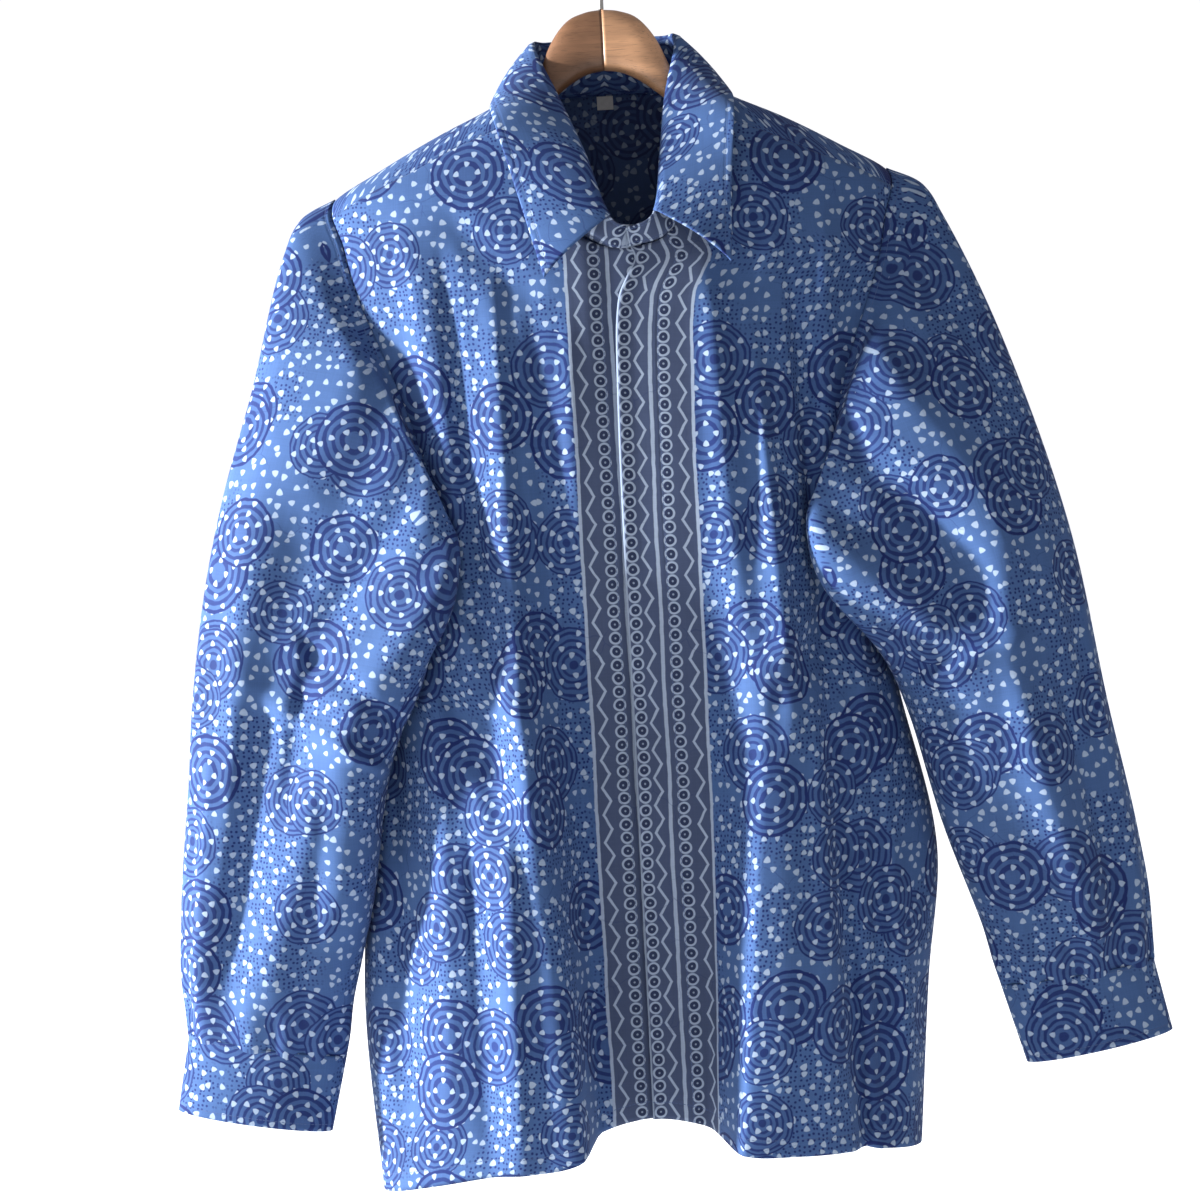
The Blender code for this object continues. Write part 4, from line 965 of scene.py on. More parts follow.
def border_group(name):
    """The border along a front: rows of rings, zigzags and straight lines, and at the free edge a pale line
    that is a painted highlight.
    """
    net, given, gives = new_group(name, (("From Edge", 0.0), ("Along", 0.0)), ("Line", "Rim", "Zone"))
    at = net.joined(given["From Edge"], given["Along"])
    drift = net.math("MULTIPLY_ADD", net.noise(at, 110.0, 1.0)[0], 0.0012, -0.0006)
    slow = net.math("MULTIPLY_ADD", net.noise(at, 14.0, 0.0)[0], 0.0024, -0.0012)
    edge = net.math("ADD", given["From Edge"], net.math("ADD", drift, slow))
    along = net.math("ADD", given["Along"], drift)
    lines, cores = [], []
    cell = net.math("SUBTRACT", net.math("FRACT", net.math("DIVIDE", along, CIRCLE_PITCH)), 0.5)
    down = net.math("MULTIPLY", cell, CIRCLE_PITCH)
    for row in CIRCLE_ROWS:
        across = net.math("SUBTRACT", edge, row)
        away = net.vector("LENGTH", net.joined(across, down))
        off = net.math("ABSOLUTE", net.math("SUBTRACT", away, RING_RADIUS))
        lines.append(net.inside(off, 0.00070, 0.0004))
        lines.append(net.math("MULTIPLY", net.inside(away, 0.0007, 0.0004), 0.75))
        cores.append(net.inside(away, RING_CORE, 0.0005))
    for row, start in zip(ZIGZAG_ROWS, (0.0, 0.25)):
        phase = net.math("FRACT", net.math("ADD", net.math("DIVIDE", along, ZIGZAG_PITCH), start))
        wave = net.math("MULTIPLY_ADD", net.math("ABSOLUTE", net.math("SUBTRACT", phase, 0.5)),
                        4 * ZIGZAG_REACH, -ZIGZAG_REACH)
        off = net.math("ABSOLUTE", net.math("SUBTRACT", net.math("SUBTRACT", edge, row), wave))
        lines.append(net.inside(net.math("MULTIPLY", off, 0.86), 0.00085, 0.0004))
    for row in LINE_ROWS:
        off = net.math("ABSOLUTE", net.math("SUBTRACT", edge, row))
        lines.append(net.inside(off, 0.0013, 0.0005))
    # A pale line along the very free edge, also on the stand's ends: a painted highlight on the folded edge.
    lines.append(net.math("MULTIPLY", net.inside(given["From Edge"], 0.0011, 0.0006), 0.8))
    line = lines[0]
    for more in lines[1:]:
        line = net.math("MAXIMUM", line, more)
    net.put(gives["Line"], line)
    net.put(gives["Rim"], net.math("MAXIMUM", cores[0], cores[1]))
    net.put(gives["Zone"], net.inside(edge, BORDER_WIDE, 0.0006))
    return net.tree


def weave_group(name):
    """Plain weave: threads over and under, with a few thicker ones."""
    net, given, gives = new_group(name, (("Vector", None), ("Pitch", 0.0005)), ("Height", "Slub"))
    xyz = net.parts(given["Vector"])
    waves = [net.math("SINE", net.math("MULTIPLY", axis, net.math("DIVIDE", 2 * math.pi, given["Pitch"])))
             for axis in (xyz[0], xyz[1])]
    net.put(gives["Height"], net.math("MULTIPLY_ADD", net.math("MULTIPLY", waves[0], waves[1]), 0.5, 0.5))
    long_way = net.noise(net.vector("MULTIPLY", given["Vector"], (900.0, 30.0, 0.0)), 1.0, 1.0)[0]
    cross_way = net.noise(net.vector("MULTIPLY", given["Vector"], (30.0, 900.0, 0.0)), 1.0, 1.0)[0]
    net.put(gives["Slub"], net.math("MULTIPLY", net.math("ADD", long_way, cross_way), 0.5))
    return net.tree


def dye_group(name):
    """Uneven dye: broad drift, cloudy patches and the fine cracks left by the wax."""
    net, given, gives = new_group(name, (("Vector", None),), ("Drift", "Crackle"))
    broad = net.noise(given["Vector"], 7.0, 3.0, 0.6)[0]
    cloudy = net.noise(given["Vector"], 45.0, 3.0, 0.6)[0]
    net.put(gives["Drift"], net.math("ADD", net.math("MULTIPLY", broad, 0.6),
                                     net.math("MULTIPLY", cloudy, 0.4)))
    bent = net.scaled(net.noise(given["Vector"], 60.0, 2.0)["Color"], 0.012)
    cracks = net.add("ShaderNodeTexVoronoi", voronoi_dimensions="2D", feature="DISTANCE_TO_EDGE")
    net.put(cracks.inputs["Vector"], net.vector("ADD", given["Vector"], bent))
    net.put(cracks.inputs["Scale"], 38.0)
    thin = net.inside(cracks.outputs["Distance"], 0.012, 0.02)
    patch = net.inside(0.58, net.noise(given["Vector"], 22.0, 1.0)[0], 0.08)
    net.put(gives["Crackle"], net.math("MULTIPLY", thin, patch))
    return net.tree


STITCH_LONG = 0.0026    # one stitch and the gap after it


def stitch_group(name):
    """One row of stitches at an inset from an edge, with the cloth drawn in along it."""
    net, given, gives = new_group(name, (("From Edge", 0.0), ("Along", 0.0), ("Inset", 0.005)),
                                  ("Thread", "Height"))
    off = net.math("ABSOLUTE", net.math("SUBTRACT", given["From Edge"], given["Inset"]))
    beat = net.math("FRACT", net.math("DIVIDE", given["Along"], STITCH_LONG))
    stitch = net.math("MULTIPLY", net.inside(off, 0.00028, 0.0002),
                      net.inside(net.math("ABSOLUTE", net.math("SUBTRACT", beat, 0.5)), 0.36, 0.10))
    pull = net.inside(off, 0.0010, 0.0018)
    pucker = net.noise(net.joined(given["Along"], 0.0), 110.0, 1.0)[0]
    ripple = net.math("MULTIPLY", net.inside(off, 0.004, 0.006), net.math("SUBTRACT", pucker, 0.5))
    sunk = net.math("SUBTRACT", net.math("MULTIPLY", stitch, 0.5), net.math("MULTIPLY", pull, 0.6))
    net.put(gives["Thread"], stitch)
    net.put(gives["Height"], net.math("ADD", sunk, ripple))
    return net.tree


def grain_group(name):
    """Long wood grain with pores."""
    net, given, gives = new_group(name, (("Vector", None),), ("Grain", "Pores"))
    stretched = net.vector("MULTIPLY", given["Vector"], (9.0, 120.0, 120.0))
    bend = net.noise(given["Vector"], 14.0, 2.0)["Color"]
    long_way = net.noise(net.vector("ADD", stretched, net.scaled(bend, 2.2)), 1.0, 5.0, 0.62)[0]
    pores = net.noise(net.vector("MULTIPLY", given["Vector"], (60.0, 1500.0, 1500.0)), 1.0, 2.0)[0]
    net.put(gives["Grain"], long_way)
    net.put(gives["Pores"], net.inside(0.62, pores, 0.08))
    return net.tree


# ---- Materials ---------------------------------------------------------------------------------
def opaque(colour, times=1.0):
    return tuple(min(1.0, channel * times) for channel in colour) + (1.0,)


def new_material(name):
    made = bpy.data.materials.new(name)
    made.use_nodes = True
    return made, Net(made.node_tree), made.node_tree.nodes["Principled BSDF"]


def uv_of(net, layer):
    return net.add("ShaderNodeUVMap", uv_map=layer).outputs[0]


def cloth_material(name, sizes, border=False, stitches=(), inner=False):
    """Batik cloth, with the border, rows of stitches or, if asked, the wrong side: its muted tone darkened
    as painted shade.

    stitches are (edge, inset): edge is free, bottom or top.
    """
    found = bpy.data.materials.get(name)
    if found:
        return found
    made, net, shader = new_material(name)
    cut, edges = uv_of(net, "Cut"), uv_of(net, "Edge")
    figure = net.group(once("Batik figure", figure_group), Vector=cut, Spacing=sizes.triangle_spacing)
    dye = net.group(once("Uneven dye", dye_group), Vector=cut)
    weave = net.group(once("Plain weave", weave_group), Vector=cut, Pitch=sizes.weave_pitch)
    ground, dark, light = opaque(sizes.ground), opaque(sizes.dark), opaque(sizes.light)
    colour = net.tint(figure["Dots"], ground, dark)
    colour = net.tint(figure["Dark"], colour, dark)
    colour = net.tint(figure["Light"], colour, light)
    along, across = net.parts(cut)[1], net.parts(cut)[0]
    if border:
        rows = net.group(once("Border print", border_group), From_Edge=across, Along=along)
        band = net.tint(rows["Rim"], opaque(sizes.border_ground), opaque(sizes.border_dark))
        band = net.tint(rows["Line"], band, opaque(sizes.border_line))
        colour = net.tint(rows["Zone"], colour, band)
    shade = net.math("MULTIPLY_ADD", dye["Drift"], 0.50, 0.75)
    shade = net.math("MULTIPLY", shade, net.math("MULTIPLY_ADD", weave["Slub"], 0.30, 0.85))
    # The weave's low points are painted darker: painted shade in the hollows between threads. The drift and
    # slubs above are the cloth's own uneven tone.
    shade = net.math("MULTIPLY", shade, net.math("MULTIPLY_ADD", weave["Height"], 0.10, 0.95))
    colour = net.tint(1.0, colour, net.joined(shade, shade, shade), "MULTIPLY")
    colour = net.tint(net.math("MULTIPLY", dye["Crackle"], 0.30), colour, dark)
    height = net.math("MULTIPLY", weave["Height"], 0.35)
    height = net.math("ADD", height, net.math("MULTIPLY", weave["Slub"], 0.5))
    # The wrong side is mixed toward the darker Wrong side tone: the back's own muted colour, darkened
    # further as painted shade.
    if inner:
        colour = net.tint(0.45, colour, opaque(sizes.inner))
    readings = {"free": (across, along), "bottom": (net.parts(edges)[0], across),
                "top": (net.parts(edges)[1], across)}
    for edge, inset in stitches:
        off, run = readings[edge]
        row = net.group(once("Stitch row", stitch_group), From_Edge=off, Along=run, Inset=inset)
        colour = net.tint(net.math("MULTIPLY", row["Thread"], 0.8), colour, opaque(sizes.thread))
        height = net.math("ADD", height, net.math("MULTIPLY", row["Height"], 1.6))
    crush = net.noise(cut, 90.0, 3.0, 0.55)[0]
    height = net.math("ADD", height, net.math("MULTIPLY", crush, 1.4))
    bump = net.add("ShaderNodeBump")
    net.put(bump.inputs["Strength"], 0.55)
    net.put(bump.inputs["Distance"], 0.0004)
    net.put(bump.inputs["Height"], height)
    net.put(shader.inputs["Base Color"], colour)
    net.put(shader.inputs["Normal"], bump.outputs[0])
    net.put(shader.inputs["Roughness"], net.math("MULTIPLY_ADD", dye["Drift"], 0.20, 0.68))
    shader.inputs["Specular IOR Level"].default_value = 0.18
    shader.inputs["Sheen Weight"].default_value = 0.05
    shader.inputs["Sheen Roughness"].default_value = 0.45
    return made


def wood_material(name, colour):
    made, net, shader = new_material(name)
    where = net.add("ShaderNodeTexCoord").outputs["Object"]
    wood = net.group(once("Wood grain", grain_group), Vector=where)
    deep, pale = opaque(colour, 0.62), opaque(colour, 1.22)
    shown = net.tint(net.math("MULTIPLY_ADD", wood["Grain"], 1.9, -0.45, clamp=True), deep, pale)
    shown = net.tint(net.math("MULTIPLY", wood["Pores"], 0.45), shown, opaque(colour, 0.35))
    bump = net.add("ShaderNodeBump")
    net.put(bump.inputs["Strength"], 0.25)
    net.put(bump.inputs["Distance"], 0.0002)
    net.put(bump.inputs["Height"], net.math("SUBTRACT", wood["Grain"], wood["Pores"]))
    net.put(shader.inputs["Base Color"], shown)
    net.put(shader.inputs["Normal"], bump.outputs[0])
    net.put(shader.inputs["Roughness"], net.math("MULTIPLY_ADD", wood["Grain"], 0.25, 0.30))
    shader.inputs["Coat Weight"].default_value = 0.25
    shader.inputs["Coat Roughness"].default_value = 0.25
    return made


def steel_material(name, colour):
    made, net, shader = new_material(name)
    where = net.add("ShaderNodeTexCoord").outputs["Object"]
    drawn = net.noise(net.vector("MULTIPLY", where, (2600.0, 2600.0, 240.0)), 1.0, 3.0)[0]
    patches = net.noise(where, 130.0, 3.0)[0]
    bump = net.add("ShaderNodeBump")
    net.put(bump.inputs["Strength"], 0.15)
    net.put(bump.inputs["Distance"], 0.0001)
    net.put(bump.inputs["Height"], drawn)
    net.put(shader.inputs["Base Color"], net.tint(patches, opaque(colour, 0.80), opaque(colour, 1.10)))
    net.put(shader.inputs["Normal"], bump.outputs[0])
    net.put(shader.inputs["Roughness"], net.math("MULTIPLY_ADD", patches, 0.20, 0.22))
    shader.inputs["Metallic"].default_value = 1.0
    return made


def resin_material(name, colour):
    made, net, shader = new_material(name)
    where = net.add("ShaderNodeTexCoord").outputs["Object"]
    swirl = net.noise(where, 320.0, 4.0, 0.6)[0]
    fine = net.noise(where, 2200.0, 2.0)[0]
    bump = net.add("ShaderNodeBump")
    net.put(bump.inputs["Strength"], 0.10)
    net.put(bump.inputs["Distance"], 0.0001)
    net.put(bump.inputs["Height"], fine)
    net.put(shader.inputs["Base Color"], net.tint(swirl, opaque(colour, 0.75), opaque(colour, 1.5)))
    net.put(shader.inputs["Normal"], bump.outputs[0])
    net.put(shader.inputs["Roughness"], net.math("MULTIPLY_ADD", fine, 0.15, 0.22))
    return made


def tape_material(name, colour):
    """Woven label tape, bare, its tone a little cloudy."""
    made, net, shader = new_material(name)
    cut = uv_of(net, "Cut")
    weave = net.group(once("Plain weave", weave_group), Vector=cut, Pitch=0.0006)
    cloudy = net.noise(cut, 300.0, 2.0)[0]
    bump = net.add("ShaderNodeBump")
    net.put(bump.inputs["Strength"], 0.5)
    net.put(bump.inputs["Distance"], 0.0002)
    net.put(bump.inputs["Height"], weave["Height"])
    net.put(shader.inputs["Base Color"], net.tint(cloudy, opaque(colour, 0.8), opaque(colour, 1.15)))
    net.put(shader.inputs["Normal"], bump.outputs[0])
    net.put(shader.inputs["Roughness"], net.math("MULTIPLY_ADD", cloudy, 0.1, 0.75))
    return made


FLOOR_GLOW = (0.80, 0.81, 0.83)  # keeps the floor as pale as the backdrop behind it


def floor_material(name, colour):
    made, net, shader = new_material(name)
    where = net.add("ShaderNodeTexCoord").outputs["Object"]
    cloudy = net.noise(where, 1.2, 2.0)[0]
    net.put(shader.inputs["Base Color"], net.tint(cloudy, opaque(colour, 0.985), opaque(colour, 1.0)))
    seen = net.add("ShaderNodeLightPath").outputs["Is Camera Ray"]
    net.put(shader.inputs["Emission Color"], net.tint(seen, (0.0, 0.0, 0.0, 1.0), opaque(FLOOR_GLOW)))
    shader.inputs["Emission Strength"].default_value = 1.0
    net.put(shader.inputs["Roughness"], net.math("MULTIPLY_ADD", cloudy, 0.1, 0.85))
    return made


# ---- Mesh helpers ------------------------------------------------------------------------------
def run_length(points, axis):
    """Distance walked along a grid's rows or columns, from its first point."""
    steps = np.linalg.norm(np.diff(points, axis=axis), axis=-1)
    start = np.zeros_like(np.take(steps, [0], axis=axis))
    return np.concatenate([start, np.cumsum(steps, axis=axis)], axis=axis)


def laid_flat(points, zero, shift=(0.0, 0.0)):
    """Cut layout of a grid: across from the column called zero, and down from its first row."""
    across = run_length(points, 1)
    across = across - across[:, [zero]]
    down = run_length(points, 0)
    return np.stack([across + shift[0], down + shift[1]], axis=-1)


STEEPEST_STEP = 3.0     # a step over a steep side counts as no more than this many level ones


def body_layout(points, back, edge_x, shift=(0.0, 0.0)):
    """Cut layout of a body panel: across along its level lines, and straight down.

    Across is counted from the line that edge_x gives by height, or from the middle for None.
    """
    xs, zs = np.linspace(-0.212, 0.212, 640), np.linspace(-0.91, -0.10, 300)
    level = body(xs[None, :] + 0 * zs[:, None], zs[:, None] + 0 * xs[None, :], back)
    steps = np.linalg.norm(np.diff(level[..., :2], axis=1), axis=-1)
    steps = np.minimum(steps, STEEPEST_STEP * (xs[1] - xs[0]))
    walked = np.concatenate([np.zeros((len(zs), 1)), np.cumsum(steps, axis=1)], axis=1)

    def read(x, z):
        column = np.clip((x - xs[0]) / (xs[1] - xs[0]), 0, len(xs) - 1.001)
        row = np.clip((z - zs[0]) / (zs[1] - zs[0]), 0, len(zs) - 1.001)
        i, j = row.astype(int), column.astype(int)
        fi, fj = row - i, column - j
        near = walked[i, j] * (1 - fj) + walked[i, j + 1] * fj
        far = walked[i + 1, j] * (1 - fj) + walked[i + 1, j + 1] * fj
        return near * (1 - fi) + far * fi

    x, z = points[..., 0], points[..., 2]
    start = 0 * x if edge_x is None else edge_x(z) + 0 * x
    across = read(x, z) - read(start, z)
    return np.stack([across + shift[0], shift[1] - z], axis=-1)


def relaxed_flat(points, flat, rounds=260):
    """Presses a grid of cloth flat: moves the flat grid until neighbours are as far apart as on the form."""
    links = []
    for down, along in ((0, 1), (1, 0), (1, 1), (1, -1)):
        rows, columns = points.shape[:2]
        i, j = np.meshgrid(np.arange(rows - down), np.arange(max(0, -along), columns - max(0, along)),
                           indexing="ij")
        odd = (j if down == 0 else i) % 2 == 1
        for pick in (odd, ~odd):
            near, far = (i[pick], j[pick]), (i[pick] + down, j[pick] + along)
            links.append((near, far, np.linalg.norm(points[far] - points[near], axis=-1)))
    flat = flat.copy()
    for _ in range(rounds):
        for near, far, length in links:
            gap = flat[far] - flat[near]
            now = np.maximum(np.linalg.norm(gap, axis=-1), 1e-9)
            move = gap * (0.5 * (now - length) / now)[:, None]
            flat[near] += move
            flat[far] -= move
    return flat


def sleeve_layout(points, side, zero, shift, coarse=4):
    """Cut layout of a sleeve, first down the arm and round it, then pressed flat on a coarser grid."""
    few = points[::coarse, ::coarse]
    arm = np.array([side * 0.20, -0.02, -0.98])
    arm /= np.linalg.norm(arm)
    steps = np.diff(few, axis=1)
    steps = np.linalg.norm(steps - (steps @ arm)[..., None] * arm, axis=-1)
    across = np.concatenate([np.zeros((len(few), 1)), np.cumsum(steps, axis=1)], axis=1)
    across = across - across[:, [zero // coarse]]
    flat = relaxed_flat(few, np.stack([across, few @ arm], axis=-1))
    rows, columns = points.shape[:2]
    i, j = np.arange(rows) / coarse, np.arange(columns) / coarse
    along_rows = np.stack([[np.interp(j, np.arange(flat.shape[1]), line[:, k]) for line in flat]
                           for k in (0, 1)], axis=-1)
    full = np.stack([[np.interp(i, np.arange(flat.shape[0]), line[:, k])
                      for line in along_rows.transpose(1, 0, 2)] for k in (0, 1)], axis=-1)
    return full.transpose(1, 0, 2) + np.array(shift)


def edge_layout(points):
    """Distance from a grid's last row and from its first row."""
    down = run_length(points, 0)
    return np.stack([down[[-1]] - down, down], axis=-1)


def finish_mesh(bm, name, materials):
    mesh = bpy.data.meshes.new(name)
    bm.to_mesh(mesh)
    bm.free()
    for each in materials:
        mesh.materials.append(each)
    mesh.shade_smooth()
    made = bpy.data.objects.new(name, mesh)
    bpy.context.scene.collection.objects.link(made)
    return made


def cloth_piece(name, points, cut, materials, wall, tube=False, notch=None, turned=False):
    """A sheet of cloth: a bmesh grid laid on points (rows, columns), with its layouts and its wall."""
    rows, columns = points.shape[:2]
    bm = bmesh.new()
    bmesh.ops.create_grid(bm, x_segments=columns - 1, y_segments=rows - 1, size=0.5)
    uvs = [bm.loops.layers.uv.new(label) for label in ("Cut", "Edge")]
    edge = edge_layout(points)
    places, cuts, edges = (grid.reshape(-1, grid.shape[-1]).tolist() for grid in (points, cut, edge))
    for vert in bm.verts:
        column = round((vert.co.x + 0.5) * (columns - 1))
        row = round((vert.co.y + 0.5) * (rows - 1))
        vert.index = row * columns + column
    for vert in bm.verts:
        vert.co = places[vert.index]
    for face in bm.faces:
        for loop in face.loops:
            loop[uvs[0]].uv = cuts[loop.vert.index]
            loop[uvs[1]].uv = edges[loop.vert.index]
    if notch:
        from_row, first, last = notch
        gone = [face for face in bm.faces if min(v.index for v in face.verts) // columns >= from_row
                and first <= min(v.index % columns for v in face.verts) < last]
        bmesh.ops.delete(bm, geom=gone, context="FACES")
    if tube:
        bmesh.ops.remove_doubles(bm, verts=bm.verts, dist=1e-6)
    if turned:
        bmesh.ops.reverse_faces(bm, faces=bm.faces)
    made = finish_mesh(bm, name, materials)
    thick = made.modifiers.new("Wall", "SOLIDIFY")
    thick.thickness = wall
    thick.offset = 0.0
    if len(materials) > 1:
        thick.material_offset = 1
    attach(made, "root")
    return made


def faces_outwards(points, centre):
    """True if a grid's own faces point away from centre, or from its rows' middles if centre is None."""
    middle = points.mean(axis=1, keepdims=True)[1:-1] if centre is None else centre
    across = points[1:-1, 2:] - points[1:-1, :-2]
    down = points[2:, 1:-1] - points[:-2, 1:-1]
    return np.sum(np.cross(across, down) * (points[1:-1, 1:-1] - middle)) > 0


# ---- Settings ----------------------------------------------------------------------------------
def colour_setting(label, words, value):
    return FloatVectorProperty(name=label, description=words, default=value, size=3, min=0.0, max=1.0,
                               subtype="COLOR")


class BatikShirtSettings(bpy.types.PropertyGroup):
    """Sizes and colours of the shirt and its hanger."""

    cloth_wall: FloatProperty(
        name="Cloth thickness", description="Wall of a single layer of the shirt's cloth",
        default=0.0007, min=0.0003, max=0.0015, precision=5, unit="LENGTH")
    collar_wall: FloatProperty(
        name="Collar thickness", description="Wall of the interfaced collar, stand and cuffs",
        default=0.0013, min=0.0006, max=0.0025, precision=5, unit="LENGTH")
    weave_pitch: FloatProperty(
        name="Weave pitch", description="Distance between two threads and the next two",
        default=0.0008, min=0.0003, max=0.002, precision=5, unit="LENGTH")
    triangle_spacing: FloatProperty(
        name="Triangle spacing", description="Distance between the scattered pale triangles",
        default=0.0093, min=0.006, max=0.03, precision=4, unit="LENGTH")
    ground: colour_setting("Ground", "Mid blue of the cloth", (0.060, 0.122, 0.292))
    dark: colour_setting("Dark dye", "Second, deeper dye of the rings", (0.011, 0.024, 0.125))
    light: colour_setting("Pale marks", "Cloth kept pale under the wax", (0.360, 0.450, 0.600))
    border_ground: colour_setting("Border ground", "Greyer ground of the printed border",
                                  (0.064, 0.086, 0.162))
    border_dark: colour_setting("Border rings", "Deep centres of the border's rings", (0.026, 0.038, 0.090))
    border_line: colour_setting("Border lines", "Grey-blue lines of the border", (0.360, 0.430, 0.560))
    # Wrong side: the back's own muted tone, darkened as painted shade.
    inner: colour_setting("Wrong side", "Tone that the cloth takes on its wrong side", (0.035, 0.045, 0.110))
    thread: colour_setting("Thread", "Sewing thread", (0.080, 0.120, 0.260))
    # The two wood colours are one wood, painted lit and painted in shade: the right half is painted lighter
    # and the left half darker, as the key light from the left would fall on them.
    wood_light: colour_setting("Lighter wood", "Wood of the hanger's right half", (0.640, 0.340, 0.180))
    wood_dark: colour_setting("Darker wood", "Wood of the hanger's left half", (0.230, 0.110, 0.055))
    steel: colour_setting("Hook", "Steel of the hook", (0.62, 0.60, 0.57))
    label: colour_setting("Label", "Bare woven label", (0.560, 0.560, 0.570))
    button: colour_setting("Buttons", "Resin of the cuff buttons", (0.040, 0.060, 0.150))
    floor: colour_setting("Floor", "Plain floor of the stage", (0.92, 0.92, 0.92))


class Maker:
    """What the operators share: the settings, and undo in the editor."""

    bl_options = {"REGISTER", "UNDO"}

    @property
    def sizes(self):
        return bpy.context.scene.batik_shirt


# ---- Cloth pieces ------------------------------------------------------------------------------
BODY_MIDDLE = np.array([0.0, 0.0, -0.5])
NECK_MIDDLE = np.array([0.0, 0.0, -0.17])

# Rows of a front and of the back, as shares of its length: close together at the underarm, where
# the edge turns.
DOWN_THE_FRONT = np.concatenate([np.linspace(0, 0.35, 75)[:-1], np.linspace(0.35, 0.46, 76)[:-1],
                                 np.linspace(0.46, 1, 115)])
DOWN_THE_BACK = np.concatenate([np.linspace(0, 0.33, 60)[:-1], np.linspace(0.33, 0.42, 50)[:-1],
                                np.linspace(0.42, 1, 100)])
FRONT_COLUMNS = (86, 44)    # under the yoke seam, and under the neck
BACK_COLUMNS = 171
SLEEVE_AROUND, SLEEVE_ROWS = 132, 176
CUFF_AROUND, CUFF_ROWS = 150, 26
COLLAR_COLUMNS, LEAF_ROWS, STAND_ROWS = 261, 44, 18


class SHIRT_OT_fronts(Maker, bpy.types.Operator):
    """Both fronts: the lapping one and the one under it, each with its printed border"""

    bl_idname = "batik_shirt.fronts"
    bl_label = "Fronts"

    def execute(self, context):
        sizes = self.sizes
        stitches = (("bottom", 0.012), ("free", 0.0285))
        outer = cloth_material("Batik with border", sizes, border=True, stitches=stitches)
        inner = cloth_material("Batik with border, muted back in painted shade", sizes, border=True, inner=True)
        for side, node, area in ((-1, "front_right", 0.152), (1, "front_left", 0.144)):
            points = front_grid(side, *FRONT_COLUMNS, DOWN_THE_FRONT)
            free = (lambda z: spline(z, LAP_EDGE, 1)) if side > 0 else (lambda z: UNDER_EDGE_X + 0 * z)
            cut = body_layout(points, False, free)
            cut[..., 0] = np.abs(cut[..., 0])
            piece = cloth_piece(node + "_cloth", points, cut, (outer, inner), sizes.cloth_wall,
                                turned=not faces_outwards(points, BODY_MIDDLE))
            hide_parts(node)
        return {"FINISHED"}


class SHIRT_OT_back(Maker, bpy.types.Operator):
    """The back, from the yoke seam to the hem"""

    bl_idname = "batik_shirt.back"
    bl_label = "Back"

    def execute(self, context):
        sizes = self.sizes
        outer = cloth_material("Batik cloth, hemmed", sizes, stitches=(("bottom", 0.012), ("top", -0.004)))
        inner = cloth_material("Batik cloth, muted back in painted shade", sizes, inner=True)
        points = back_grid(BACK_COLUMNS, DOWN_THE_BACK)
        cut = body_layout(points, True, None, (0.37, 0.11))
        piece = cloth_piece("back_cloth", points, cut, (outer, inner), sizes.cloth_wall,
                            turned=not faces_outwards(points, BODY_MIDDLE))
        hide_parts("back")
        return {"FINISHED"}


class SHIRT_OT_yoke(Maker, bpy.types.Operator):
    """The yoke over the shoulders, notched for the neck"""

    bl_idname = "batik_shirt.yoke"
    bl_label = "Yoke"

    def execute(self, context):
        sizes = self.sizes
        outer = cloth_material("Batik cloth, yoke", sizes, stitches=(("bottom", 0.0020), ("top", 0.0020)))
        inner = cloth_material("Batik cloth, muted back in painted shade", sizes, inner=True)
        wings, neck, behind, ahead = 44, 61, 44, 26
        points = yoke_grid(wings, neck, behind, ahead)
        cut = laid_flat(points, wings + neck // 2, (0.81, 0.63))
        piece = cloth_piece("yoke_cloth", points, cut, (outer, inner), sizes.cloth_wall,
                            turned=not faces_outwards(points, BODY_MIDDLE),
                            notch=(behind - 1, wings - 1, wings + neck))
        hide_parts("yoke")
        return {"FINISHED"}


class SHIRT_OT_sleeves(Maker, bpy.types.Operator):
    """Both sleeves, with their creases, and the faced slit above each cuff"""

    bl_idname = "batik_shirt.sleeves"
    bl_label = "Sleeves"

    def execute(self, context):
        sizes = self.sizes
        outer = cloth_material("Batik cloth, sleeve", sizes, stitches=(("top", 0.0045),))
        inner = cloth_material("Batik cloth, muted back in painted shade", sizes, inner=True)
        facing = cloth_material("Batik cloth, facing", sizes, stitches=(("top", 0.002), ("bottom", 0.002)))
        for side, node in ((-1, "sleeve_right"), (1, "sleeve_left")):
            points = sleeve_grid(side, SLEEVE_AROUND, SLEEVE_ROWS)
            cut = sleeve_layout(points, side, SLEEVE_AROUND // 2, (1.23 + 0.40 * side, 0.05 * side))
            piece = cloth_piece(node + "_cloth", points, cut, (outer, inner), sizes.cloth_wall, tube=True,
                                turned=not faces_outwards(points, None))
            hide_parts(node)
            placket = node.replace("sleeve", "sleeve_placket")
            points = sleeve_placket_grid(side)
            middle = sleeve_surface(side, np.array([0.88]), np.array([0.25]))[0]
            cut = laid_flat(points, 0, (0.3, 0.9))
            strip = cloth_piece(placket + "_cloth", points, cut, (facing, inner), sizes.cloth_wall,
                                turned=not faces_outwards(points, middle))
            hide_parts(placket)
        return {"FINISHED"}


class SHIRT_OT_cuffs(Maker, bpy.types.Operator):
    """Both cuffs, each wrapped once round and lapped on the hidden side"""

    bl_idname = "batik_shirt.cuffs"
    bl_label = "Cuffs"

    def execute(self, context):
        sizes = self.sizes
        outer = cloth_material("Batik cloth, cuff", sizes, stitches=(("bottom", 0.005), ("top", 0.0022)))
        inner = cloth_material("Batik cloth, muted back in painted shade", sizes, inner=True)
        for side, node in ((-1, "cuff_right"), (1, "cuff_left")):
            points = cuff_grid(side, CUFF_AROUND, CUFF_ROWS)
            cut = laid_flat(points, 0, (2.1 + 0.3 * side, 0.0))
            piece = cloth_piece(node + "_cloth", points, cut, (outer, inner), sizes.collar_wall,
                                turned=not faces_outwards(points, None))
            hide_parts(node)
        return {"FINISHED"}


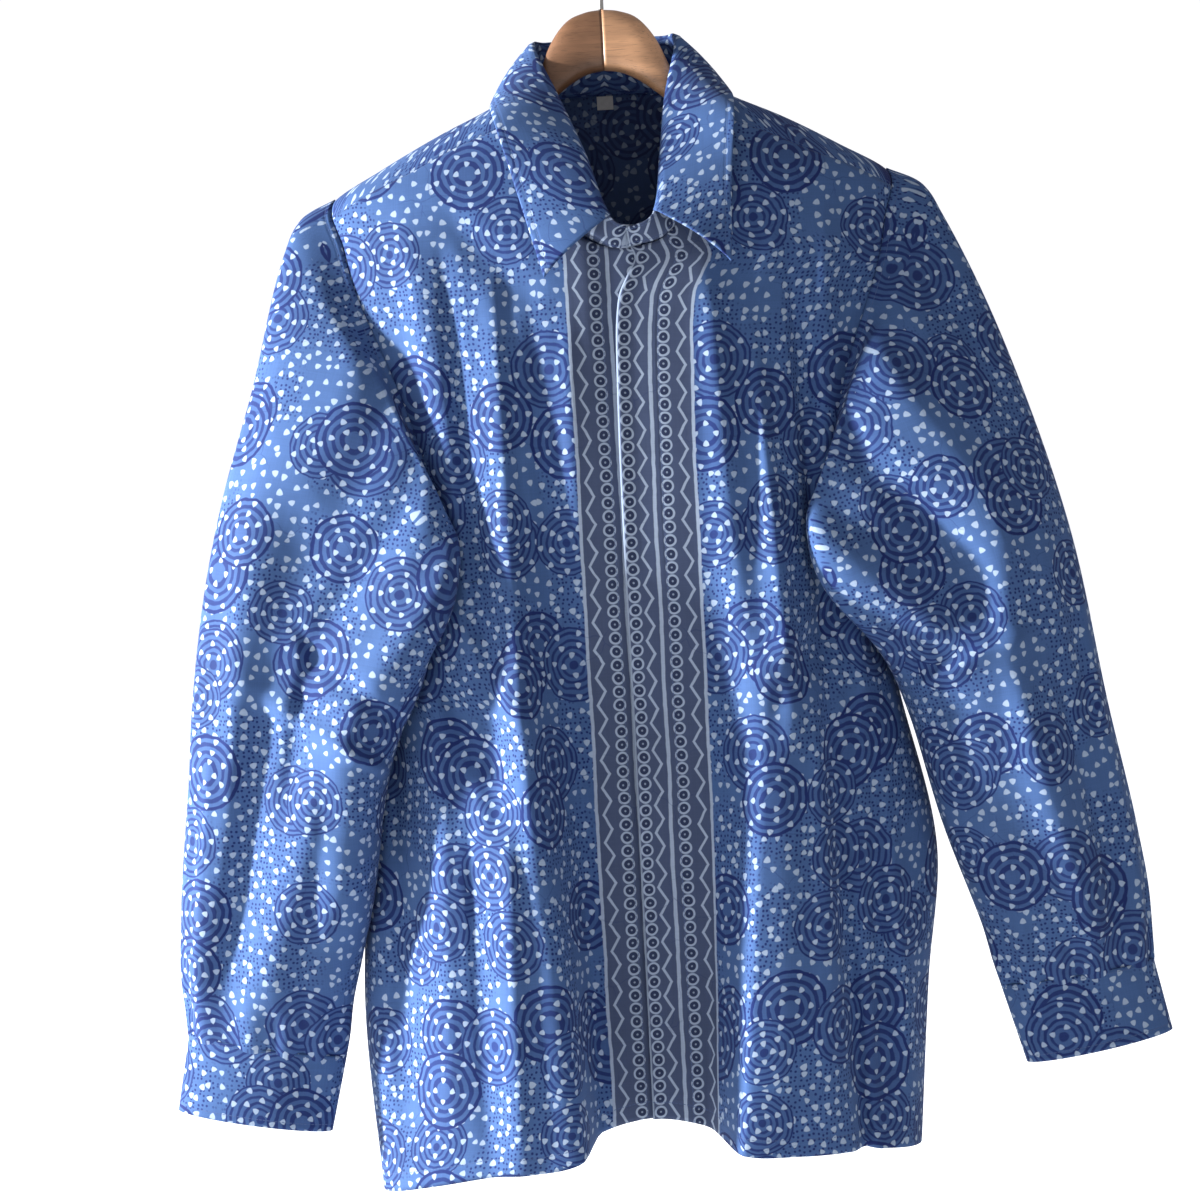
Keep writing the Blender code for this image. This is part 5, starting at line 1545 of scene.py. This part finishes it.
class SHIRT_OT_collar(Maker, bpy.types.Operator):
    """The collar: a stand round the neck and the leaf that turns down over it"""

    bl_idname = "batik_shirt.collar"
    bl_label = "Collar"

    def execute(self, context):
        sizes = self.sizes
        outer = cloth_material("Batik cloth, collar", sizes, stitches=(("bottom", 0.0055),))
        stand_cloth = cloth_material("Batik cloth, stand", sizes, border=True,
                                     stitches=(("top", 0.002), ("bottom", 0.002)))
        inner = cloth_material("Batik cloth, muted back in painted shade", sizes, inner=True)
        leaf = leaf_grid(COLLAR_COLUMNS, LEAF_ROWS)
        cut = laid_flat(leaf, COLLAR_COLUMNS // 2, (3.02, 0.0))
        piece = cloth_piece("collar_leaf_cloth", leaf, cut, (outer, inner), sizes.collar_wall,
                            turned=not faces_outwards(leaf, NECK_MIDDLE))
        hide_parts("collar_leaf")
        stand = stand_grid(COLLAR_COLUMNS, STAND_ROWS)
        cut = laid_flat(stand, COLLAR_COLUMNS // 2)
        # The border runs on over the stand, so across is counted from the stand's front ends.
        cut[..., 0] = np.abs(cut[:, [-1], 0]) - np.abs(cut[..., 0])
        cut[..., 1] += STAND_BELOW
        piece = cloth_piece("collar_stand_cloth", stand, cut, (stand_cloth, stand_cloth),
                            sizes.collar_wall * 0.8, turned=not faces_outwards(stand, NECK_MIDDLE))
        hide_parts("collar_stand")
        return {"FINISHED"}


class SHIRT_OT_label(Maker, bpy.types.Operator):
    """The bare woven label inside the back of the neck"""

    bl_idname = "batik_shirt.label"
    bl_label = "Label"

    def execute(self, context):
        sizes = self.sizes
        columns, rows = 25, 21
        x, z = np.meshgrid(np.linspace(*LABEL_X, columns), np.linspace(*LABEL_Z, rows))
        points = body(x, z, True)
        curl = LABEL_CURL * np.linspace(0, 1, rows)[:, None] ** 2
        points[..., 1] -= LABEL_OFF + curl
        tape = tape_material("Woven tape", sizes.label)
        piece = cloth_piece("size_label_tape", points, laid_flat(points, 0), (tape,), LABEL_WALL,
                            turned=faces_outwards(points, BODY_MIDDLE))
        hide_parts("size_label")
        return {"FINISHED"}


# ---- Hard pieces -------------------------------------------------------------------------------
# A button's outline, from the middle of its face over the rim to the middle of its underside.
BUTTON_PROFILE = (
    (0.0, 0.00040), (0.0026, 0.00040), (0.0032, 0.00055), (0.0040, 0.00095), (0.0048, 0.00105),
    (0.0053, 0.00080), (0.0055, 0.00020), (0.0053, -0.00050), (0.0046, -0.00090), (0.0, -0.00100),
)


def button_mesh(holes):
    """A turned button with a raised rim, and four shallow thread holes."""
    bm = bmesh.new()
    line = [bm.verts.new((r, 0.0, z)) for r, z in BUTTON_PROFILE]
    edges = [bm.edges.new(pair) for pair in zip(line, line[1:])]
    bmesh.ops.spin(bm, geom=line + edges, axis=(0, 0, 1), cent=(0, 0, 0), steps=48, angle=2 * math.pi,
                   use_merge=True)
    bmesh.ops.remove_doubles(bm, verts=bm.verts, dist=1e-6)
    bmesh.ops.recalc_face_normals(bm, faces=bm.faces)
    for x, y in holes:
        made = bmesh.ops.create_cone(bm, cap_ends=True, segments=12, radius1=0.00055, radius2=0.00042,
                                     depth=0.0003)
        bmesh.ops.translate(bm, verts=made["verts"], vec=(x, y, 0.00050))
    return bm


class SHIRT_OT_buttons(Maker, bpy.types.Operator):
    """A sewn-through button on the lapping end of each cuff"""

    bl_idname = "batik_shirt.buttons"
    bl_label = "Cuff buttons"

    def execute(self, context):
        resin = resin_material("Button resin", self.sizes.button)
        holes = [(x * 0.0011, y * 0.0011) for x in (-1, 1) for y in (-1, 1)]
        for side, node in ((-1, "cuff_button_right"), (1, "cuff_button_left")):
            v, turns = np.array([0.5]), np.array([CUFF_TURNS - BUTTON_BACK])
            out = np.array([CUFF_LAP_OUT])
            at = cuff_point(side, v, turns, out)[0]
            normal = np.cross(cuff_point(side, v, turns + 0.01, out)[0] - at,
                              cuff_point(side, v + 0.1, turns, out)[0] - at)
            normal *= math.copysign(1, normal[1]) / np.linalg.norm(normal)
            bm = button_mesh(holes)
            turn = Vector((0, 0, 1)).rotation_difference(Vector(normal)).to_matrix().to_4x4()
            place = Matrix.Translation(at + normal * BUTTON_OUT) @ turn
            bmesh.ops.transform(bm, matrix=place, verts=bm.verts)
            piece = finish_mesh(bm, node + "_turned", (resin,))
            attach(piece, "root")
            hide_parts(node)
        return {"FINISHED"}


class SHIRT_OT_hanger(Maker, bpy.types.Operator):
    """Both halves of the wooden hanger and its steel hook"""

    bl_idname = "batik_shirt.hanger"
    bl_label = "Hanger"

    def execute(self, context):
        sizes = self.sizes
        around, steps = 48, 96
        # Each half takes its own wood colour: the right one painted lit, the left one painted in shade.
        for side, node, colour in ((-1, "hanger_arm_left", sizes.wood_dark),
                                   (1, "hanger_arm_right", sizes.wood_light)):
            xs = np.concatenate([[0.00002], np.linspace(0, HANGER[-1][0], steps)[1:]])
            tops, bottoms, thicks = (spline(xs, HANGER, column) for column in (1, 2, 3))
            bm = bmesh.new()
            bmesh.ops.create_grid(bm, x_segments=around, y_segments=steps - 1, size=0.5)
            for vert in bm.verts:
                turn = 2 * math.pi * (vert.co.x + 0.5)
                i = round((vert.co.y + 0.5) * (steps - 1))
                flat = abs(math.cos(turn)) ** 0.8 * math.copysign(1, math.cos(turn))
                tall = abs(math.sin(turn)) ** 0.8 * math.copysign(1, math.sin(turn))
                near_end = min(1.0, (xs[-1] - xs[i]) / HANGER_END)
                blunt = 0.55 + 0.45 * math.sqrt(1 - (1 - near_end) ** 2)
                vert.co = (side * xs[i], thicks[i] * blunt * flat,
                           (tops[i] + bottoms[i]) / 2 + (tops[i] - bottoms[i]) / 2 * blunt * tall)
            bmesh.ops.remove_doubles(bm, verts=bm.verts, dist=1e-6)
            rims = [edge for edge in bm.edges if edge.is_boundary]
            bmesh.ops.holes_fill(bm, edges=rims, sides=0)
            bmesh.ops.recalc_face_normals(bm, faces=bm.faces)
            wood = wood_material("Wood, " + node.split("_")[-1], colour)
            piece = finish_mesh(bm, node.replace("arm", "half"), (wood,))
            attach(piece, "root")
            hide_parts(node)
        self.hook(steel_material("Drawn steel", sizes.steel))
        return {"FINISHED"}

    def hook(self, steel):
        """The hook: its foot in the wood, then the bow over the rail."""
        centre = WIRE_R - HOOK_R
        path = list(HOOK_FOOT)
        for step in range(11):
            turn = math.radians(-20 + 230 * step / 10)
            path.append((HOOK_R * math.cos(turn), centre + HOOK_R * math.sin(turn)))
        curve = bpy.data.curves.new("hook_line", "CURVE")
        curve.dimensions = "3D"
        curve.bevel_depth = WIRE_R
        curve.bevel_resolution = 5
        curve.resolution_u = 10
        curve.use_fill_caps = True
        line = curve.splines.new("NURBS")
        line.points.add(len(path) - 1)
        for point, (x, z) in zip(line.points, path):
            point.co = (x, 0.0, z, 1.0)
        line.use_endpoint_u = True
        line.order_u = 3
        drawn = bpy.data.objects.new("hook_line", curve)
        bpy.context.scene.collection.objects.link(drawn)
        graph = bpy.context.evaluated_depsgraph_get()
        mesh = bpy.data.meshes.new_from_object(drawn.evaluated_get(graph))
        bpy.data.objects.remove(drawn, do_unlink=True)
        mesh.materials.clear()
        mesh.materials.append(steel)
        mesh.shade_smooth()
        piece = bpy.data.objects.new("hook_wire", mesh)
        bpy.context.scene.collection.objects.link(piece)
        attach(piece, "root")
        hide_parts("hanger_hook")


# ---- Stage -------------------------------------------------------------------------------------
CAMERA_AT = (-0.0249, -1.7, -0.4931)
CAMERA_LENS = 71.83
CAMERA_ROLL = -3.3
FLOOR_Z = -1.10
FLOOR_RADIUS = 30.0
LIGHTS = (
    # name         place                   aim                    size   power  colour
    ("Key light", (-2.78, -0.42, -0.10), (0.0, 0.0, -0.50), 0.24, 262.0, (0.94, 0.97, 1.0)),
)
WORLD_COLOUR = (0.97, 0.965, 1.0)
WORLD_STRENGTH = 0.39       # light that the surroundings give
BACKDROP_STRENGTH = 1.06    # how bright they look to the camera


class SHIRT_OT_stage(Maker, bpy.types.Operator):
    """Pale floor, key light, pale surroundings and the camera"""

    bl_idname = "batik_shirt.stage"
    bl_label = "Stage"

    def execute(self, context):
        scene = context.scene
        bm = bmesh.new()
        bmesh.ops.create_circle(bm, cap_ends=True, segments=96, radius=FLOOR_RADIUS)
        bmesh.ops.translate(bm, verts=bm.verts, vec=(0, 0, FLOOR_Z))
        floor = finish_mesh(bm, "floor", (floor_material("Pale floor", self.sizes.floor),))
        for name, place_at, aim, size, power, colour in LIGHTS:
            data = bpy.data.lights.new(name, "AREA")
            data.shape = "DISK"
            data.size = size
            data.energy = power
            data.color = colour
            light = bpy.data.objects.new(name, data)
            light.location = place_at
            light.rotation_euler = (Vector(aim) - Vector(place_at)).to_track_quat("-Z", "Y").to_euler()
            scene.collection.objects.link(light)
        world = bpy.data.worlds.new("Studio")
        world.use_nodes = True
        sky = world.node_tree.nodes["Background"]
        sky.inputs["Color"].default_value = (*WORLD_COLOUR, 1.0)
        light_path = world.node_tree.nodes.new("ShaderNodeLightPath")
        strength = world.node_tree.nodes.new("ShaderNodeMapRange")
        strength.inputs["To Min"].default_value = WORLD_STRENGTH
        strength.inputs["To Max"].default_value = BACKDROP_STRENGTH
        world.node_tree.links.new(light_path.outputs["Is Camera Ray"], strength.inputs["Value"])
        world.node_tree.links.new(strength.outputs["Result"], sky.inputs["Strength"])
        scene.world = world
        scene.view_settings.view_transform = "Standard"
        lens = bpy.data.cameras.new("Camera")
        lens.sensor_width = 36.0
        lens.lens = CAMERA_LENS
        camera = bpy.data.objects.new("Camera", lens)
        facing = Vector((0, 1, 0)).to_track_quat("-Z", "Y").to_matrix().to_4x4()
        roll = Matrix.Rotation(math.radians(CAMERA_ROLL), 4, "Z")
        camera.matrix_world = Matrix.Translation(CAMERA_AT) @ facing @ roll
        scene.collection.objects.link(camera)
        scene.camera = camera
        return {"FINISHED"}


# ---- Panel and registration --------------------------------------------------------------------
OPERATORS = (SHIRT_OT_fronts, SHIRT_OT_back, SHIRT_OT_yoke, SHIRT_OT_sleeves, SHIRT_OT_cuffs,
             SHIRT_OT_collar, SHIRT_OT_label, SHIRT_OT_buttons, SHIRT_OT_hanger, SHIRT_OT_stage)


class SHIRT_PT_panel(bpy.types.Panel):
    """Lists the settings and the pieces in the 3D view's sidebar"""

    bl_idname = "SHIRT_PT_panel"
    bl_label = "Batik Shirt"
    bl_space_type = "VIEW_3D"
    bl_region_type = "UI"
    bl_category = "Batik Shirt"

    def draw(self, context):
        settings = context.scene.batik_shirt
        sizes = self.layout.box()
        for name in BatikShirtSettings.__annotations__:
            sizes.prop(settings, name)
        pieces = self.layout.column(align=True)
        for operator in OPERATORS:
            pieces.operator(operator.bl_idname)


CLASSES = (BatikShirtSettings, *OPERATORS, SHIRT_PT_panel)


def register():
    for each in CLASSES:
        bpy.utils.register_class(each)
    bpy.types.Scene.batik_shirt = PointerProperty(type=BatikShirtSettings)


def unregister():
    del bpy.types.Scene.batik_shirt
    for each in reversed(CLASSES):
        bpy.utils.unregister_class(each)


def main():
    register()
    for operator in OPERATORS:
        group, name = operator.bl_idname.split(".")
        getattr(getattr(bpy.ops, group), name)()


if __name__ == "__main__":
    main()
